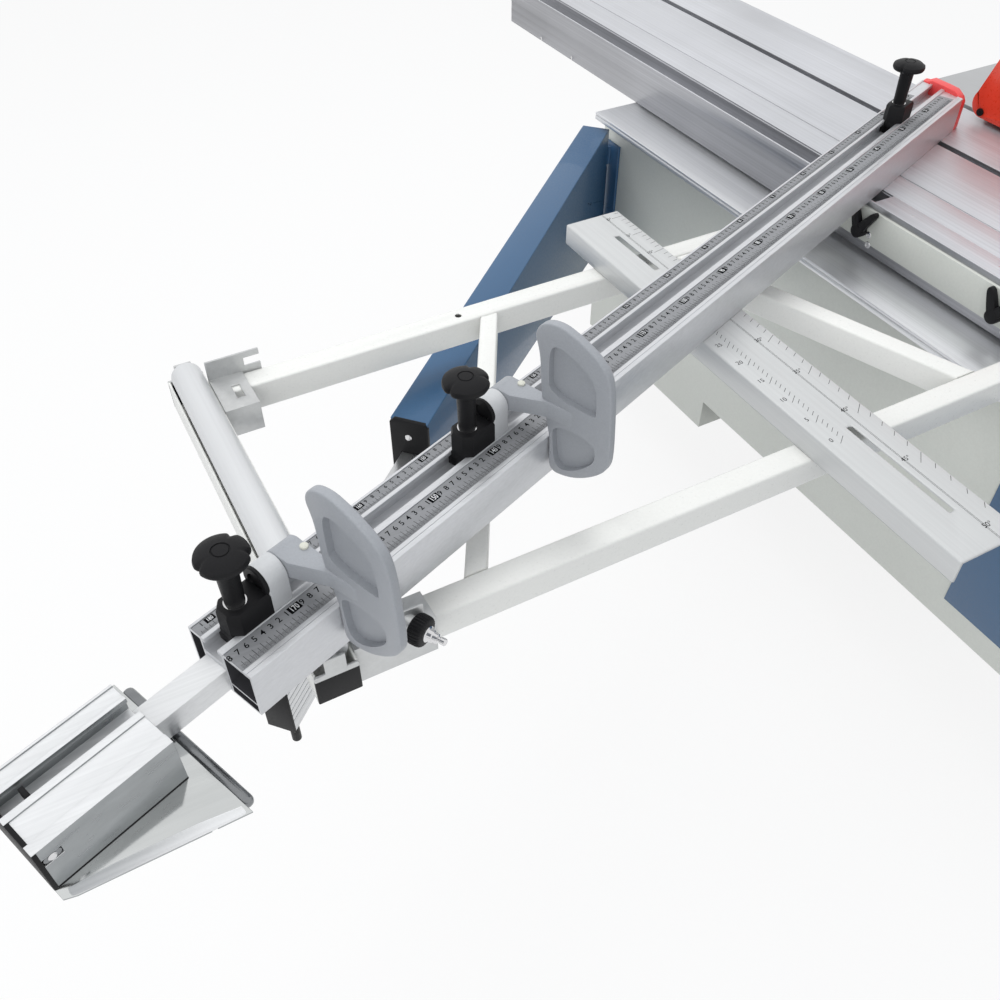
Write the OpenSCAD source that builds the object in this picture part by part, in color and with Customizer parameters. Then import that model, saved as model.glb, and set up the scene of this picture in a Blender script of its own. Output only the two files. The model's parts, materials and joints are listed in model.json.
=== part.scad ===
// Sliding table saw with an outrigger frame, a crosscut fence, two flip stops and a swing arm.
// X points from the operator's left to the right, Y away from the operator, Z up.
// The origin is on the floor, straight under the middle of the blade.

/* [Machine height and blade] */
// Height of the table tops above the floor
table_h = 880; // [840:5:920]
// Diameter of the saw blade
blade_d = 315; // [305:5:325]
// Thickness of the saw blade
blade_t = 3.2; // [2.4:0.1:4]
// Height of the blade above the table at rest
blade_up = 79.5; // [74:0.5:82]

/* [Cabinet] */
// Distance from the blade to the left wall of the cabinet
cabinet_left = 240; // [239:1:245]
// Distance from the blade to the right wall of the cabinet
cabinet_right = 470; // [450:5:500]
// Distance from the blade centre to the front wall of the cabinet
cabinet_front = 395; // [380:5:420]
// Distance from the blade centre to the rear wall of the cabinet
cabinet_rear = 375; // [360:5:384]
// Height of the underside of the cabinet above the floor
body_bottom = 281; // [240:1:300]
// Thickness of the sheet walls
sheet_t = 3; // [2:0.5:4]
// Inset of the plinth from the cabinet walls
plinth_inset = 70; // [60:1:80]
// Width of the floor flange outside the plinth
flange_w = 60; // [45:1:80]
// Thickness of the floor plate
floor_t = 10; // [8:1:14]
// Radius of the anchor bolt holes
anchor_r = 7; // [5:0.5:9]
// Inset of the anchor holes from the edge of the floor plate
anchor_inset = 28; // [22:1:34]

/* [Beam housing and rail] */
// Distance from the blade to the left wall of the beam housing
housing_left = 480; // [460:1:500]
// Length of the beam housing in front of the blade centre
housing_front = 745; // [700:5:800]
// Length of the beam housing behind the blade centre
housing_rear = 790; // [776:1:810]
// Height of the underside of the rear skirt above the floor
skirt_bottom = 208; // [180:1:230]
// Distance from the blade centre to the front of the rear skirt
skirt_from = 320; // [280:1:360]
// Height of the bottom edge of the front panel above the floor
panel_bottom = 333; // [300:1:360]
// Distance from the blade centre to the rear edge of the front panel
panel_from = 378; // [340:1:420]
// Thickness of the front panel sheet
panel_t = 2.5; // [1.5:0.5:4]
// Height of the guide rail
rail_h = 26; // [22:1:30]
// Gap between the guide rail and the sliding table
rail_gap = 6; // [5:0.5:8]
// Distance from the blade to the left edge of the guide rail
rail_left = 522; // [510:1:535]
// Distance from the blade to the right edge of the guide rail
rail_right = 262; // [250:1:280]
// Half of the length of the guide rail
rail_half = 768; // [740:1:775]
// Radius of the hardened guide rods
rod_r = 7; // [5:0.5:9]
// Height of the rod axes above the guide rail
rod_up = 2; // [1:0.5:3]
// Distance from the blade to the outer guide rod
rod_outer = 400; // [390:1:410]
// Distance from the blade to the inner guide rod
rod_inner = 292; // [282:1:300]

/* [Sliding table] */
// Length of the sliding table
carriage_l = 2640; // [2300:10:3000]
// Width of the sliding table
carriage_w = 425; // [415:1:440]
// Gap between the sliding table and the blade plane
carriage_gap = 5; // [4:0.5:8]
// Height of the sliding table profile
carriage_h = 90; // [86:1:96]
// Thickness of the thin overhang beside the blade
overhang_t = 14; // [11:1:16]
// Width of the thin overhang beside the blade
overhang_w = 120; // [110:1:125]
// Wall thickness of the sliding table profile
carriage_wall = 5; // [4:0.5:7]
// Width of the deep slot along the left edge
edge_slot_w = 38; // [34:1:42]
// Depth of the deep slot along the left edge
edge_slot_d = 26; // [20:1:32]
// Wall outside the deep slot
edge_wall = 6; // [5:0.5:9]
// Set-back of the lower side face
side_step = 4; // [2:0.5:4.5]
// Height of the upper side face
side_upper = 38; // [34:1:50]
// Distance from the blade to the middle of the T-slot
tslot_x = 163; // [155:1:172]
// Mouth width of the T-slot
tslot_w = 16; // [12:0.5:18]
// Inner width of the T-slot
tslot_in = 28; // [24:1:32]
// Depth of the T-slot
tslot_d = 20; // [18:1:24]
// Lip thickness of the T-slot
tslot_lip = 7; // [5:0.5:9]
// Width of a shallow groove in the table top
groove_w = 3; // [2:0.5:5]
// Depth of a shallow groove in the table top
groove_d = 1.5; // [1:0.5:3]
// Distance from the blade to the second shallow groove
groove_x = 322; // [300:1:340]
// Length of the edge strip that fills the deep slot
strip_l = 900; // [700:10:1100]
// Thickness of the edge strip
strip_t = 3; // [2:0.5:4]
// Reach of the edge strip behind the blade centre
strip_rear = 55; // [20:5:80]

/* [Main table] */
// Gap between the main table and the blade plane
main_gap = 10; // [8:0.5:14]
// Width of the main table
main_w = 550; // [500:5:600]
// Length of the main table in front of the blade centre
main_front = 400; // [390:5:440]
// Length of the main table behind the blade centre
main_rear = 385; // [385:1:420]
// Depth of the main table casting
main_h = 40; // [34:1:44]
// Thickness of the main table plate
main_t = 12; // [9:1:14]
// Width of the extension table
ext_w = 450; // [350:10:600]
// Sheet thickness of the extension table
ext_t = 4; // [3:0.5:6]

/* [Rip fence] */
// Radius of the rip fence rail
rip_r = 20; // [16:1:24]
// Distance from the front of the main table to the rail axis
rip_out = 42; // [38:1:50]
// Drop of the rail axis below the table top
rip_drop = 55; // [48:1:60]
// Distance from the blade to the rip fence face
rip_x = 400; // [380:5:460]
// Length of the rip fence head along the rail
rip_head_l = 110; // [90:5:130]
// Length of the rip fence face
rip_l = 720; // [600:10:760]
// Height of the rip fence face
rip_h = 90; // [70:1:120]
// Thickness of the rip fence face
rip_t = 28; // [22:1:34]

/* [Saw unit] */
// Thickness of the trunnion plates
trunnion_t = 12; // [10:1:16]
// Distance from the blade centre to a trunnion plate
trunnion_y = 290; // [284:1:300]
// Inner radius of the trunnion groove
arc_r = 240; // [236:1:244]
// Width of the trunnion groove
arc_w = 16; // [12:1:18]
// Half angle of the arc shoe
shoe_half = 10; // [8:1:12]
// Largest tilt of the blade
tilt_max = 45; // [40:1:45]
// Thickness of the saw frame side plates
frame_t = 12; // [8:1:14]
// Distance from the blade to the lifting rods
lift_x = 80; // [78:1:84]
// Distance from the blade centre to the lifting rods
lift_y = 110; // [100:1:120]
// Radius of the lifting rods
lift_r = 10; // [8:0.5:12]
// Radius of the arbor
arbor_r = 12; // [10:0.5:14]
// Radius of the blade flanges
flange_r = 30; // [26:1:31]
// Radius of the arbor housing
housing_r = 34; // [32:0.5:36]
// Radius of the arbor pulley
pulley_r = 32; // [28:1:38]
// Radius of the motor pulley
motor_pulley_r = 42; // [36:1:46]
// Width of the pulleys
pulley_w = 20; // [16:1:24]
// Thickness of the drive belt
belt_t = 4; // [3:0.5:6]
// Distance between the arbor and the motor shaft
belt_c = 165; // [155:1:175]
// Radius of the motor
motor_r = 62; // [54:1:66]
// Length of the motor
motor_l = 170; // [140:5:200]
// Thickness of the riving knife
knife_t = 2.6; // [2:0.1:3]

/* [Blade guard] */
// Distance from the blade to the left face of the guard
guard_left = 34; // [30:1:35]
// Distance from the blade to the right face of the guard
guard_right = 24; // [20:1:26]
// Height of the left skirt above the table
guard_low = 9; // [7:0.5:12]
// Height of the right skirt above the table
guard_high = 32; // [30:1:40]
// Height of the guard roof above the table
guard_top = 150; // [130:1:170]
// Length of the guard behind the blade centre
guard_rear = 222; // [218:1:230]
// Radius of the lower rear corner of the guard
guard_r = 26; // [22:1:30]
// Length of the guard in front of the blade centre
guard_front = 250; // [220:1:270]
// Wall thickness of the guard
guard_t = 4; // [3:0.5:5]

/* [Outrigger] */
// Height of the protractor beam
beam_h = 35; // [30:1:40]
// Width of the frame tubes
tube_w = 36; // [30:1:40]
// Height of the frame tubes
tube_h = 42; // [38:1:44]
// Wall thickness of the frame tubes
tube_t = 2.5; // [2:0.5:4]
// Distance from the blade centre to the rear tube
rear_tube_y = 118; // [110:1:124]
// Distance from the blade centre to the front tube
front_tube_y = 331; // [320:1:340]
// Distance from the blade to the outer ends of the frame tubes
tube_out = 1532; // [1500:1:1540]
// Thickness of the side plate
plate_t = 6; // [5:0.5:8]
// Height of the side plate
plate_h = 58; // [54:1:62]
// Drop of the side plate below the table top
plate_drop = 10; // [8:0.5:12]
// Reach of the side plate in front of the blade centre
plate_front = 560; // [520:5:640]
// Distance from the blade to the protractor beam
beam_x = 823; // [800:1:850]
// Width of the protractor beam
beam_w = 99; // [90:1:110]
// Reach of the protractor beam in front of the blade centre
beam_front = 601; // [560:1:640]
// Reach of the protractor beam behind the blade centre
beam_rear = 238; // [220:1:250]
// Distance from the blade to the slots of the protractor beam
beam_slot_x = 869; // [860:1:878]
// Width of the slots in the protractor beam
beam_slot_w = 9; // [7:0.5:11]
// Distance from the blade to the strut at the rear tube
strut_rear_x = 1128; // [1100:1:1160]
// Distance from the blade to the strut at the front tube
strut_front_x = 1384; // [1350:1:1420]
// Distance from the blade to the inner brace at the rear tube
brace_rear_x = 768; // [740:1:790]
// Distance from the blade to the inner brace at the front tube
brace_front_x = 611; // [590:1:640]
// Distance from the blade to the outer beam
outer_x = 1548; // [1545:1:1560]
// Width of the outer beam
outer_w = 50; // [50:1:54]
// Height of the outer beam
outer_h = 45; // [45:1:50]
// Reach of the outer beam behind the blade centre
outer_rear = 181; // [176:1:200]
// Thickness of the black end caps
cap_t = 4; // [3:0.5:6]
// Radius of the support roller
roller_r = 21; // [18:0.5:21]
// Gap between the roller top and the table level
roller_drop = 2; // [1:0.5:4]
// Radius of the roller axle
axle_r = 5; // [4:0.5:7]

/* [Crosscut fence] */
// Angle of the fence at rest, seen from above
fence_angle = 21.5; // [15:0.5:25]
// Distance from the blade to the zero of the fence scale
zero_x = 15; // [12:1:18]
// Distance from the blade centre to the zero of the fence scale
zero_y = 260; // [250:1:270]
// Gap between the fence and the table
fence_lift = 0.4; // [0.3:0.1:1]
// Height of the fence profile
fence_h = 60.6; // [56:0.1:64]
// Distance from the scale line to the front face of the fence
fence_front = 32; // [31:0.5:36]
// Distance from the scale line to the back face of the fence
fence_back = 61; // [58:0.5:66]
// Distance from the scale zero to the outer end of the fence
fence_end = 1782; // [1700:1:1850]
// Distance from the blade to the inner end of the fence
fence_clear = 86; // [80:1:95]
// Wall thickness of the fence profile
fence_wall = 2.5; // [2:0.1:3.2]
// Mouth width of the fence channel
channel_w = 20; // [17:0.5:22]
// Middle of the fence channel behind the scale line
channel_y = 27; // [26:0.5:28]
// Inner width of the fence channel
channel_in = 29; // [26:0.5:30]
// Depth of the fence channel
channel_d = 20; // [18:0.5:21]
// Thickness of the channel lips
channel_lip = 6; // [5:0.5:7]
// Drop of the scale seats below the fence top
scale_drop = 2; // [1:0.5:3]
// Distance from the blade centre to the pivot pin
pivot_y = 218; // [214:1:222]
// Length of the coloured cap at the inner end
fence_cap_l = 19; // [14:1:24]
// Radius of the pivot pin
pivot_r = 6; // [5:0.5:7]

/* [Fence extension] */
// Height of the extension bar
bar_h = 30; // [26:0.5:31]
// Length of the extension bar inside the fence
bar_in = 700; // [500:10:900]
// Distance from the scale zero to the inner end of the shoe
shoe_s = 1868; // [1860:1:1900]
// Length of the shoe
shoe_l = 137; // [120:1:160]
// Thickness of the sheet plate under the shoe
sheet_plate_t = 2; // [1.5:0.5:3]

/* [Flip stops] */
// Distance from the scale zero to the knob of the outer stop
outer_stop_s = 1745; // [1720:1:1750]
// Distance from the scale zero to the knob of the middle stop
middle_stop_s = 1415; // [1350:1:1480]
// Distance from the scale zero to the knob of the inner stop
inner_stop_s = 275; // [260:1:300]
// Length of a stop block
stop_l = 46; // [44:1:50]
// Length of a stop block beyond its knob
stop_out = 18; // [16:1:20]
// Cut corners of a stop block
stop_cut = 6; // [3:0.5:8]
// Width of a stop block above the fence
stop_w = 34; // [30:1:38]
// Height of a stop block above the fence
stop_h = 30; // [27:1:32]
// Radius of a stop knob
knob_r = 26.5; // [24:0.5:28]
// Height of a stop knob
knob_h = 17; // [14:1:22]
// Radius of the stem of a stop knob
stem_r = 10.5; // [9:0.5:12]
// Length of the stem of a stop knob
stem_l = 54; // [48:1:56]
// Radius of the hinge barrel of a stop
barrel_r = 17; // [14:0.5:18]
// Width of the hinge lug of a stop
lug_w = 24; // [20:1:26]
// Radius of the hinge pin of a stop
hinge_r = 7; // [5:0.5:8]
// Width of a flip arm at its hinge
flip_w = 30; // [26:1:32]
// Height of a flip arm
flip_h = 22; // [16:1:26]
// Thickness of a stop paddle
paddle_t = 8; // [6:0.5:10]
// Height of the hinge pin above the fence top
hinge_up = 35; // [34:1:40]

/* [Swing arm] */
// Angle of the swing arm at rest, from the X axis
arm_angle = 42.5; // [36:0.5:48]
// Distance from the blade to the hinge pin
arm_x = 505; // [503:1:512]
// Distance from the blade centre to the hinge pin
arm_y = 760; // [750:1:765]
// Gap between the top of the arm and the guide rail
arm_gap = 4; // [3:0.5:10]
// Length of the arm sheet
arm_l = 1066; // [950:1:1100]
// Height of the arm at its hinge
arm_root_h = 283; // [260:1:300]
// Height of the arm at its outer end
arm_tip_h = 152; // [151:1:160]
// Width of the top flange of the arm
arm_w = 60; // [56:1:70]
// Sheet thickness of the arm
arm_t = 4; // [3:0.5:5]
// Distance from the top of the arm down to the telescopic bar
tele_drop = 62; // [58:1:62]
// Width of the telescopic bar
tele_w = 38; // [34:1:40]
// Height of the telescopic bar
tele_h = 86; // [80:1:87]
// Reach of the telescopic bar beyond the arm
tele_out = 450; // [440:5:480]
// Radius of the hinge pin
pin_r = 7; // [6:0.5:8]
// Radius of the hinge knuckles
knuckle_r = 12; // [10:0.5:13]
// Radius of the support head on the telescopic bar
head_r = 22; // [18:1:24]

/* [Fits] */
// Running gap between sliding faces
gap = 0.3; // [0.25:0.05:0.4]
// Radial running clearance of a shaft in its bore
fit = 0.05; // [0.03:0.01:0.08]

/* [Hidden] */
$fn = 64;
cl = carriage_gap + carriage_w;
carriage_z = table_h - carriage_h;
rail_z = carriage_z - rail_gap;
rail_low = rail_z - rail_h;
rod_z = rail_z + rod_up;
arbor_z = table_h + blade_up - blade_d / 2;
motor_z = arbor_z - belt_c;
fall = 80;
climb = 5;
bridge_top = arbor_z + housing_r + climb + 4;
bridge_low = arbor_z - housing_r - fall - 12;
wall_y = trunnion_y - trunnion_t / 2 - gap - frame_t;
cab_top = table_h - main_h;
rail_bar_y = -main_front - rip_out;
rail_bar_z = table_h - rip_drop;
box_y = -cabinet_front - 50;
box_x = 370;
box_z = table_h - 190;
pulley_x = housing_r + 81;
wheel_r = 80;
wheel_z = table_h - 280;
rise_x = -90;
tilt_x = 130;
shaft_r = 10;
pulley_c = pulley_x + pulley_w / 2;
motor_plate_x = pulley_x + pulley_w + 6;
knife_y = guard_rear - 16;
guard_pin_y = guard_rear - guard_r;
guard_pin_z = table_h + 20;
guard_pin_r = 4;
knife_top = guard_pin_z + fall + guard_pin_r + 5;
fence_z = table_h + fence_lift;
fence_top = fence_z + fence_h;
px = tslot_x - zero_x;
py = zero_y - pivot_y;
pivot_s = px * cos(fence_angle) + py * sin(fence_angle);
pivot_n = px * sin(fence_angle) - py * cos(fence_angle);
plate_x = cl + gap;
tube_x = plate_x + plate_t;
tube_top = table_h - beam_h;
tube_z = tube_top - tube_h;
front_tube_end = front_tube_y + tube_w;
outer_front = front_tube_end + 12;
outer_z = tube_top - outer_h;
axle_z = table_h - roller_drop - roller_r;
axle_x = outer_x + outer_w / 2;
sheet = 3;
web_x = outer_x - sheet;
bar_w = 30;
bar_z = 4;
bar_n = 11;
arm_top = rail_low - arm_gap;
arm_mid = arm_top - 170;
hinge_n = channel_y;
plunger_x = 1488;
plunger_turn = 30;
plunger_z = tube_top + 15;
port_x = 150;
port_z = body_bottom + 139;
saddle_low = table_h - 258;
door_y = 250;
door_low = body_bottom + 49;
door_h = cab_top - 80 - door_low;
door_pin_x = cabinet_right + 9;
door_pin_y = door_y + 8;

// Box from one corner to the opposite corner
module span(a, b) {
    translate(a)
        cube(b - a);
}

// Round bar from a point along X, Y or Z
module along_x(p, r, l) {
    translate(p)
        rotate([0, 90, 0])
            cylinder(r = r, h = l);
}

module along_y(p, r, l) {
    translate(p)
        rotate([-90, 0, 0])
            cylinder(r = r, h = l);
}

module along_z(p, r, l) {
    translate(p)
        cylinder(r = r, h = l);
}

// Profile drawn in X and Z, drawn out along Y from y0
module out_y(y0, l) {
    translate([0, y0 + l, 0])
        rotate([90, 0, 0])
            linear_extrude(l)
                children();
}

// Profile drawn in Y and Z, drawn out along X from x0
module out_x(x0, l) {
    translate([x0, 0, 0])
        rotate([90, 0, 90])
            linear_extrude(l)
                children();
}

module rect(x0, y0, x1, y1) {
    translate([x0, y0])
        square([x1 - x0, y1 - y0]);
}

// Place of the crosscut fence: X along the fence, Y towards the operator, Z from its underside
module on_fence() {
    translate([-zero_x, zero_y, fence_z])
        rotate([0, 0, 180 + fence_angle])
            children();
}

// Place of the swing arm: X along the arm, Y towards the machine
module on_arm() {
    translate([-arm_x, arm_y, 0])
        rotate([0, 0, 180 + arm_angle])
            children();
}

module base_frame() color([0.35, 0.37, 0.38]) {
    x0 = -cabinet_left + plinth_inset;
    x1 = cabinet_right - plinth_inset;
    y0 = -cabinet_front + plinth_inset;
    y1 = cabinet_rear - plinth_inset;
    w = flange_w;
    i = anchor_inset;
    difference() {
        span([x0 - w, y0 - w, 0], [x1 + w, y1 + w, floor_t]);
        for (x = [x0 - w + i, x1 + w - i], y = [y0 - w + i, y1 + w - i])
            along_z([x, y, -1], anchor_r, floor_t + 2);
    }
    difference() {
        span([x0, y0, floor_t], [x1, y1, body_bottom]);
        span([x0 + sheet_t, y0 + sheet_t, floor_t - 1],
            [x1 - sheet_t, y1 - sheet_t, body_bottom + 1]);
        span([x0 + 150, y0 - 10, floor_t + 60], [x1 - 150, y1 + 10, floor_t + 170]);
    }
}

module beam_housing() color([0.78, 0.8, 0.76]) {
    x0 = -housing_left;
    x1 = -cabinet_left;
    t = sheet_t;
    difference() {
        union() {
            span([x0, -housing_front, body_bottom], [x1, housing_rear, rail_low]);
            span([x0, skirt_from, skirt_bottom], [x1, housing_rear, rail_low]);
        }
        span([x0 + t, -housing_front + t, body_bottom - 1], [x1 - t, skirt_from, rail_low - t]);
        span([x0 + t, skirt_from + t, skirt_bottom - 1], [x1 - t, housing_rear - t, rail_low - t]);
        span([x0 + t, skirt_from - t, body_bottom - 1], [x1 - t, skirt_from + 2 * t, rail_low - t]);
    }
}

module cabinet_shape(t) {
    polygon([[-cabinet_left + t, body_bottom + t], [cabinet_right - t, body_bottom + t],
        [cabinet_right - t, cab_top + t], [main_gap + t, cab_top + t], [main_gap + t, rail_low + t],
        [-cabinet_left + t, rail_low + t]]);
}

module cabinet() color([0.78, 0.8, 0.76]) {
    t = sheet_t;
    l = cabinet_front + cabinet_rear;
    difference() {
        out_y(-cabinet_front, l)
            cabinet_shape(0);
        out_y(-cabinet_front + t, l - 2 * t)
            cabinet_shape(t);
        span([-cabinet_left + t, -cabinet_front + t, body_bottom + 50],
            [main_gap + 4 * t, cabinet_rear - t, cab_top + 1]);
        span([cabinet_right - 9, -door_y + 12, door_low + 12],
            [cabinet_right + 1, door_y - 12, door_low + door_h - 12]);
        along_y([port_x, cabinet_rear - 9, port_z], 56, 20);
        for (x = [rise_x, tilt_x])
            along_y([x, -cabinet_front - 1, wheel_z], shaft_r + fit, 9);
    }
    for (z = [door_low + 60, door_low + door_h - 90]) {
        difference() {
            span([cabinet_right, door_pin_y - 9, z], [door_pin_x + 9, door_pin_y + 9, z + 8]);
            along_z([door_pin_x, door_pin_y, z - 1], 4, 10);
        }
        along_z([door_pin_x, door_pin_y, z], 4, 32);
    }
}

module front_cover() color([0.25, 0.38, 0.58])
    span([-housing_left - panel_t, -housing_front, panel_bottom],
        [-housing_left, -panel_from, rail_low - 10]);

module beam_rail() color([0.8, 0.81, 0.82])
    out_y(-rail_half, 2 * rail_half)
        difference() {
            rect(-rail_left, rail_low, -rail_right, rail_z);
            for (x = [-rod_outer, -rod_inner])
                translate([x, rod_z])
                    circle(rod_r);
            rect(-rail_left - 1, rail_low - 1, -housing_left, rail_low + 11);
            rect(-rail_left - 1, rail_z - 7, -rail_left + 1.5, rail_z - 5);
        }

module guide_rods() color([0.85, 0.86, 0.88])
    for (x = [-rod_outer, -rod_inner])
        along_y([x, -rail_half, rod_z], rod_r, 2 * rail_half);

module main_table() color([0.55, 0.57, 0.58]) {
    x0 = main_gap;
    x1 = main_gap + main_w;
    z1 = table_h - main_t;
    rib = 12;
    span([x0, -main_front, z1], [x1, main_rear, table_h]);
    for (y = [-main_front, main_rear - rib, -trunnion_y - rib / 2, trunnion_y - rib / 2])
        span([x0, y, cab_top], [x1, y + rib, z1]);
    for (x = [x0, x1 - rib, x1 - 200])
        span([x, -main_front, cab_top], [x + rib, main_rear, z1]);
}

module extension_table() color([0.6, 0.62, 0.64]) {
    x0 = main_gap + main_w;
    x1 = x0 + ext_w;
    difference() {
        span([x0, -main_front, cab_top], [x1, main_rear, table_h]);
        span([x0 - 1, -main_front + ext_t, cab_top - 1], [x1 - ext_t, main_rear - ext_t, table_h - ext_t]);
    }
    for (y = [-main_front + 60, main_rear - 60 - ext_t])
        out_y(y, ext_t)
            polygon([[cabinet_right, cab_top - 55], [cabinet_right, cab_top], [x0 + 0.5, cab_top],
                [x0 + 0.5, table_h - ext_t], [x0 + 300, table_h - ext_t], [x0 + 300, cab_top]]);
}

module rip_bar() color([0.85, 0.86, 0.88]) {
    along_x([main_gap + 10, rail_bar_y, rail_bar_z], rip_r, main_w + ext_w - 20);
    for (x = [main_gap + 30, main_gap + main_w - 60])
        span([x, rail_bar_y, rail_bar_z - 7], [x + 30, -main_front, rail_bar_z + 7]);
    for (x = [main_gap + 30, main_gap + main_w - 60])
        span([x, -main_front - 6, rail_bar_z - 7], [x + 30, -main_front, table_h - 10]);
}

module dust_port() color([0.2, 0.2, 0.21])
    difference() {
        union() {
            along_y([port_x, cabinet_rear, port_z], 60, 90);
            along_y([port_x, cabinet_rear, port_z], 74, 4);
        }
        along_y([port_x, cabinet_rear - 1, port_z], 56, 92);
    }

module control_box() color([0.2, 0.2, 0.21])
    difference() {
        span([box_x - 75, box_y, box_z - 60], [box_x + 75, -cabinet_front, box_z + 60]);
        span([box_x - 72, box_y + 6, box_z - 57], [box_x + 72, -cabinet_front + 1, box_z + 57]);
        for (x = [box_x - 35, box_x + 35])
            along_y([x, box_y - 1, box_z], shaft_r + fit, 9);
    }

module button(x, r) {
    along_y([x, box_y - 14, box_z], r, 8);
    along_y([x, box_y - 7, box_z], shaft_r, 20);
}

module start_button() color([0.2, 0.6, 0.3]) button(box_x - 35, 14);

module stop_button() color([0.8, 0.15, 0.12]) button(box_x + 35, 20);

module trunnions() color([0.42, 0.44, 0.46])
    for (y = [-trunnion_y, trunnion_y])
        out_y(y - trunnion_t / 2, trunnion_t)
            difference() {
                polygon([[-cabinet_left + 10, saddle_low - 22], [225, saddle_low - 22], [225, cab_top],
                    [main_gap + 4, cab_top],
                    [main_gap + 4, cab_top - 62], [-cabinet_left + 10, cab_top - 62]]);
                translate([0, table_h])
                    arc_band(arc_r - arc_w / 2, arc_r + arc_w / 2, -shoe_half - 2, tilt_max + shoe_half + 2);
            }

// Band of a ring from angle a to angle b, measured from straight down towards -X
module arc_band(r0, r1, a, b) {
    difference() {
        circle(r1, $fn = 180);
        circle(r0, $fn = 180);
        rotate(-a)
            rect(0, -2 * r1, 2 * r1, 2 * r1);
        rotate(180 - b)
            rect(0, -2 * r1, 2 * r1, 2 * r1);
    }
}

module arm_hinge() color([0.3, 0.31, 0.32]) {
    x1 = -housing_left;
    difference() {
        union() {
            span([x1 - 6, arm_y - 38, arm_mid - 130], [x1, arm_y + 25, arm_top - 40]);
            for (z = [arm_mid - 120, arm_mid + 80]) {
                span([-arm_x, arm_y - 8, z], [x1, arm_y + 8, z + 40]);
                along_z([-arm_x, arm_y, z], knuckle_r, 40);
            }
        }
        along_z([-arm_x, arm_y, arm_mid - 121], pin_r, 242);
    }
    along_z([-arm_x, arm_y, arm_mid - 120], pin_r, 240);
}

module cabinet_door() color([0.78, 0.8, 0.76]) {
    x0 = cabinet_right + gap;
    span([x0, -door_y, door_low], [x0 + 3, door_y - 6, door_low + door_h]);
    for (z = [door_low + 60 + 8 + gap, door_low + door_h - 90 + 8 + gap])
        difference() {
            union() {
                along_z([door_pin_x, door_pin_y, z], 8.5, 22);
                span([x0, door_y - 30, z], [x0 + 7, door_pin_y, z + 22]);
            }
            along_z([door_pin_x, door_pin_y, z - 1], 4 + fit, 24);
        }
    span([x0, -door_y + 20, door_low + door_h / 2 - 60], [x0 + 18, -door_y + 26, door_low + door_h / 2 + 60]);
}

module handwheel(x) {
    y = -cabinet_front - 42;
    translate([x, y, wheel_z])
        rotate([90, 0, 0])
            rotate_extrude($fn = 96)
                translate([wheel_r - 8, 0])
                    circle(8, $fn = 24);
    along_y([x, y - 10, wheel_z], 20, 30);
    along_y([x, y, wheel_z], shaft_r, 72);
    for (a = [0, 120, 240])
        translate([x, y, wheel_z])
            rotate([0, a, 0])
                cylinder(r = 6, h = wheel_r - 8);
    along_y([x + wheel_r - 10, y - 50, wheel_z], 10, 50);
}

module rise_handwheel() color([0.12, 0.12, 0.13]) handwheel(rise_x);

module tilt_handwheel() color([0.12, 0.12, 0.13]) handwheel(tilt_x);

module tilt_cradle() color([0.4, 0.42, 0.44]) {
    z2 = bridge_top + 12;
    z1 = bridge_low - 14;
    for (s = [-1, 1]) {
        out_y(s * (wall_y + frame_t / 2) - frame_t / 2, frame_t)
            polygon([[lift_x - 20, z2], [lift_x + 20, z2], [lift_x + 20, z1], [46, saddle_low],
                [-46, saddle_low], [-46, saddle_low + 46], [lift_x - 20, z1 + 50]]);
        out_y(s * (wall_y + frame_t + gap / 2 + trunnion_t / 2) - gap / 2 - trunnion_t / 2, trunnion_t + gap)
            translate([0, table_h])
                arc_band(arc_r - arc_w / 2 + gap, arc_r + arc_w / 2 - gap, -shoe_half, shoe_half);
        along_z([lift_x, s * lift_y, bridge_low - 5], lift_r, bridge_top - bridge_low + 10);
    }
    for (z = [bridge_top, bridge_low - 14])
        span([lift_x - 18, -wall_y - 2, z], [lift_x + 18, wall_y + 2, z + (z == bridge_top ? 12 : 14)]);
}

module rise_slide() color([0.5, 0.52, 0.54])
    difference() {
        union() {
            span([30, -lift_y - 26, arbor_z - housing_r], [110, lift_y + 26, arbor_z + housing_r]);
            span([30, lift_y + 20, arbor_z - 24], [60, knife_y + 6, arbor_z + 16]);
            span([knife_t / 2, blade_d / 2 + 14, arbor_z - 24], [30, knife_y + 6, arbor_z + 16]);
            for (y = [-78, 62])
                span([100, y, arbor_z - housing_r], [motor_plate_x + 2, y + 16, arbor_z + housing_r]);
            span([motor_plate_x, -78, motor_z - 60], [motor_plate_x + 8, 78, arbor_z + housing_r]);
        }
        along_x([29, 0, arbor_z], arbor_r + fit, 82);
        for (y = [-lift_y, lift_y])
            along_z([lift_x, y, arbor_z - housing_r - 1], lift_r + fit, 2 * housing_r + 2);
        along_x([motor_plate_x - 1, 0, motor_z], 9 + fit, 10);
        along_x([motor_plate_x - 1, 0, arbor_z], arbor_r + 4, 10);
    }

module motor() color([0.3, 0.33, 0.36]) {
    x0 = motor_plate_x + 8;
    difference() {
        union() {
            along_x([x0, 0, motor_z], motor_r, motor_l);
            span([x0 + 20, -motor_r, motor_z - 8], [x0 + 120, motor_r + 22, motor_z + 48]);
        }
        along_x([x0 - 1, 0, motor_z], 9 + fit, 31);
    }
    along_x([x0 + motor_l - 1, 0, motor_z], motor_r - 10, 9);
}

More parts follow.
